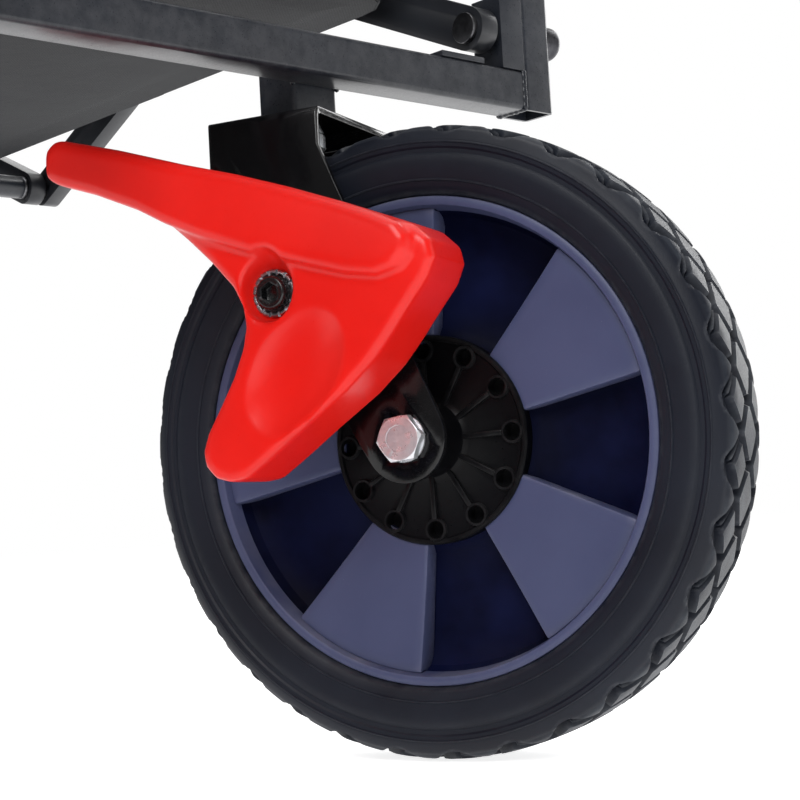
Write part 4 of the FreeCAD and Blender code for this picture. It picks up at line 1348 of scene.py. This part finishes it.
def seam(height, out):
    """A row of stitches round the walls at one height, laid on the hung cloth."""
    one = stitch()
    rim = []
    steps_x, steps_y = int(2 * HALF_X / STITCH_STEP), int(2 * HALF_Y / STITCH_STEP)
    for side in (-1, 1):
        rim += [Vector((-HALF_X + (k + 0.5) * 2 * HALF_X / steps_x, side * HALF_Y, height))
                for k in range(steps_x)]
        rim += [Vector((side * HALF_X, -HALF_Y + (k + 0.5) * 2 * HALF_Y / steps_y, height))
                for k in range(steps_y)]
    row = []
    for place in rim:
        _, away = tub_rim_point(place.x, place.y)
        along = Vector((-away.y, away.x, 0)).normalized()
        turn = Matrix((along, away.normalized(), Vector((0, 0, 1)))).transposed().to_4x4()
        twin = copy_of(one, "stitch_in_row")
        twin.data.transform(Matrix.Translation(hang(place) + away * out) @ turn)
        row.append(twin)
    bpy.data.objects.remove(one)
    return put_together("seam", row)


def hanging_loop(name, front, y):
    """A webbing loop sewn to the tub's wall and passed once round the top rail."""
    side = 1 if front else -1
    x = side * POST_X
    half = TUBE / 2
    path = [(-half - 8.6, -34), (-half - 7.4, -16), (-half - 5.0, -4), (-half - 2.6, 5),
            (-half + 0.5, half + 0.3), (-half + 3.0, half + 0.9), (half - 3, half + 0.9),
            (half + 0.4, half - 0.6), (half + 1.4, half - 4),
            (half + 1.4, -half + 4), (half, -half - 0.2), (half - 4, -half - 1.3), (-half + 4, -half - 1.3),
            (-half - 2, -half - 0.6), (-half - 5.2, -half - 3.0), (-half - 7.2, -half - 9.0),
            (-half - 8.0, -half - 22.0)]
    chain = [(x + side * px, y - LOOP_WIDE / 2, TOP_RAIL_Z + pz) for px, pz in path]
    piece = draw(name, chain)
    bpy.ops.mesh.subdivide(number_cuts=2)
    select_whole()
    for _ in range(6):
        pull((0, LOOP_WIDE / 6, 0))
    face_outwards()
    close_edit()
    lay_threads(piece)
    apply_modifier(piece, "SOLIDIFY", thickness=1.3, offset=0)
    round_edges(piece, 0.35, segments=1, angle=50)
    return piece


def add_tub():
    shell = flat_sided_tub()
    reshape(shell, hang)
    edit(shell)
    face_outwards()
    close_edit()
    up = TUB_SIZE.z
    hem = piece_of_cloth(shell, "tub_hem", lambda c: c.z > up - HEM_DEEP, 0.0, 2 * TUB_SKIN + 1.2)
    binding = piece_of_cloth(shell, "tub_floor_binding", lambda c: 8 < c.z < BINDING_HIGH + 8, 1.1, 1.0)
    bands = piece_of_cloth(shell, "tub_bands", lambda c: c.z > 14 and abs(abs(c.x) - BAND_X) < BAND_HALF
                           and abs(c.y) > TUB_SIZE.y / 2 - 40, 1.3, 1.2)
    seams = put_together("tub_stitching", [seam(up - HEM_DEEP + 3.5, 1.6), seam(up - 6, 1.6),
                                           seam(BINDING_HIGH + 4, 1.3)])
    lay_threads(shell)
    lay_threads(seams)
    apply_modifier(shell, "SOLIDIFY", thickness=TUB_SKIN, offset=0)
    centre = (TUB_LOW + TUB_HIGH) / 2
    middle = Matrix.Translation(Vector((centre.x, centre.y, TUB_LOW.z)) * MM)
    soft = ((shell, "tub_fabric", True), (hem, "tub_strap", False), (binding, "tub_strap", False),
            (bands, "tub_strap", False), (seams, "tub_thread", False))
    for piece, finish, stands in soft:
        stands_for = ("fabric_tub",) if stands else ()
        settle(piece, middle, "front_frame", "tub_fabric", *stands_for, finish=finish, smooth=60)
        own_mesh(piece)
    for front, end in ((True, "front"), (False, "rear")):
        for side, y in (("left", LOOP_Y), ("right", -LOOP_Y)):
            loop = hanging_loop(f"{side}_{end}_hanging_loop", front, y)
            settle(loop, ON_CART, end + "_frame", "tub_fabric", finish="tub_strap", smooth=60)


# ---------------------------------------------------------------- putting it together

FINISH = {}


def make_finishes():
    FINISH.update({
        "frame_black": coated_steel("frame_powder_coat", (0.008, 0.010, 0.015), (0.013, 0.016, 0.023), 0.3,
                                    worn=0.12, dust=0.08, grain=0.05),
        "arm_black": coated_steel("arm_powder_coat", (0.009, 0.010, 0.013), (0.015, 0.017, 0.021), 0.36,
                                  worn=0.15, dust=0.1, grain=0.06),
        "fork_gloss_black": coated_steel("fork_gloss_paint", (0.0015, 0.0015, 0.002), (0.003, 0.003, 0.0035),
                                         0.12, worn=0.12, dust=0.03, grain=0.03, gloss=0.35),
        "zinc": zinc_plate("zinc_plate", (0.66, 0.68, 0.71), (0.4, 0.41, 0.44), 0.26, metal=0.7),
        "dark_fastener": zinc_plate("dark_fastener", (0.05, 0.05, 0.055), (0.03, 0.03, 0.035), 0.3),
        "socket_black": coated_steel("socket_black_oxide", (0.004, 0.004, 0.0045), (0.008, 0.008, 0.009),
                                     0.24, worn=0.3, dust=0.05, grain=0.05, wave=0.06, gloss=0.5),
        "pedal_bolt_steel": zinc_plate("pedal_ring_steel", (0.42, 0.42, 0.44), (0.2, 0.2, 0.22), 0.22),
        "slide_tube_steel": zinc_plate("slide_tube_chrome", (0.66, 0.67, 0.7), (0.5, 0.5, 0.54), 0.12),
        "black_plastic": moulded_plastic("black_plastic", (0.012, 0.012, 0.014), (0.02, 0.02, 0.023), 0.42,
                                         grain=0.2),
        "handle_black": moulded_plastic("handle_black", (0.016, 0.016, 0.018), (0.026, 0.026, 0.029), 0.5,
                                        grain=0.3),
        "hub_black": moulded_plastic("hub_black", (0.0015, 0.0015, 0.002), (0.003, 0.003, 0.004), 0.3,
                                     grain=0.08, dust=0.02, gloss=0.12),
        "brake_red": brake_red(),
        "rim_slate": rim_slate(),
        # Painted shade: a near-black copy of the rim plastic for the pockets between the fans.
        "rim_pocket_painted_shade": rim_pocket_painted_shade(),
        "tyre_black": tyre_rubber(),
        "tub_fabric": tub_cloth("tub_canvas", (0.006, 0.0065, 0.008), (0.018, 0.019, 0.022)),
        "tub_strap": tub_cloth("tub_webbing", (0.01, 0.01, 0.012), (0.035, 0.035, 0.04)),
        "tub_thread": tub_cloth("tub_thread", (0.16, 0.16, 0.17), (0.3, 0.3, 0.32)),
    })


def settle(piece, place, body, slot, *stands_for, finish=None, smooth=32):
    """Places a drawn piece, gives it its finish and lets it ride."""
    set_down(piece, place, smooth)
    fit(piece, body, FINISH[finish or slot], slot, *stands_for)


def add_wheels():
    drawn_tyre = tyre()
    drawn_rim = rim()
    # The faces in the pockets between the fans, which take the painted shade.
    pockets = [in_shaded_pocket(face.center) for face in drawn_rim.data.polygons]
    drawn_disc = hub_disc()
    for side in SIDES:
        for end, place in (("front", caster_place(side)), ("rear", rear_place(side))):
            body = f"{side}_{end}_wheel"
            wheel = f"{side}_{end}"
            settle(copy_of(drawn_tyre, wheel + "_tyre_and_tread"), place, body, "tyre_black", wheel + "_tyre")
            moulding = copy_of(drawn_rim, wheel + "_rim_moulding")
            settle(moulding, place, body, "rim_slate", wheel + "_rim")
            # The pocket faces take the near-black copy of the rim plastic as painted shade.
            moulding.data.materials.append(FINISH["rim_pocket_painted_shade"])
            for face, deep in zip(moulding.data.polygons, pockets):
                face.material_index = int(deep)
            settle(copy_of(drawn_disc, wheel + "_hub_disc"), place, body, "rim_slate", wheel + "_rim",
                   finish="hub_black")
    for drawn in (drawn_tyre, drawn_rim, drawn_disc):
        bpy.data.objects.remove(drawn)


def in_shaded_pocket(place):
    """True in the dished web between the fans, inside the barrel, where the pockets get their painted shade."""
    return math.hypot(place.x, place.z) < POCKET_R and abs(place.y) < POCKET_HALF


def add_casters():
    pieces = [
        (caster_fork(), "caster", "fork_gloss_black", "caster_fork", None),
        (axle_bolt(), "caster", "zinc", "axle_bolt", None),
        (axle_nut(), "caster", "zinc", "axle_nut", None),
        (brake_pedal(), "brake", "brake_red", "brake_pedal", None),
        (pedal_washer(), "caster", "pedal_bolt_steel", "pedal_bolt", "serrated_ring"),
        (pedal_screw(), "caster", "pedal_bolt_steel", "pedal_bolt", "socket_screw"),
    ]
    for drawn, body, slot, node, other_name in pieces:
        for side in SIDES:
            name = f"{side}_{other_name or node + '_made'}"
            finish = "socket_black" if other_name == "socket_screw" else slot
            settle(copy_of(drawn, name), caster_place(side), f"{side}_{body}", slot, f"{side}_{node}",
                   finish=finish)
        bpy.data.objects.remove(drawn)


def add_frames():
    for end, body, x in (("front", "front_frame", POST_X), ("rear", "rear_frame", -POST_X)):
        for level, z in (("bottom", RAIL_Z), ("top", TOP_RAIL_Z)):
            node = f"{end}_{level}_rail"
            settle(rail(node + "_tube", x, z), ON_CART, body, "frame_black", node)
        settle(pair_of_posts(end + "_post_tubes", x), ON_CART, body, "frame_black", end + "_posts")
        settle(post_caps(end + "_post_lids", x), ON_CART, body, "black_plastic", end + "_post_caps")
    settle(stems(), ON_CART, "front_frame", "frame_black", "caster_stems")


ARMS = ("front_lower", "front_upper", "rear_upper", "rear_lower")
# Widths of the eased edges.
EASED = {
    "front_foot_bolts": 0.4, "rear_foot_bolts": 0.4, "corner_brackets": 0.5, "cross_bar": 0.3,
    "front_arm_pins": 0.5, "rear_arm_pins": 0.5, "front_sliders": 1.0, "rear_sliders": 1.0,
    "handle_bracket": 0.6, "handle_bolt": 0.5, "handle_tube": 0.4, "handle_collar": 0.8,
    "slide_tube": 0.3, "rear_forks": 0.7, "rear_axle_bolts": 0.4, "rear_axle_nuts": 0.4,
    **{side + "_kingpin": 0.6 for side in SIDES}, **{side + "_lock_pin": 0.4 for side in SIDES},
    **{f"{side}_{arm}_arm": 1.0 for side in SIDES for arm in ARMS}, "stem_bushes": 0.5,
    **{side + "_wheel_bushes": 0.3 for side in SIDES}, "handle_grip": 1.2,
}


def node_slot(node):
    return [part["material_slot"] for part in frame["record"]["subparts"] if part["node"] == node][0]


def node_body(node):
    bodies = frame["record"]["behaviour"]["bodies"]
    return next(body for body, nodes in bodies.items() if node in nodes)


def add_eased_parts():
    """The CAD's plain steel and plastic parts, each with its edges eased and its own finish."""
    for node, width in EASED.items():
        piece = finished(node, width)
        slot = node_slot(node)
        fit(piece, node_body(node), FINISH[slot], slot, node)


add_camera()
add_floor()
add_lights()
make_finishes()
add_wheels()
add_casters()
add_frames()
add_eased_parts()
add_tub()
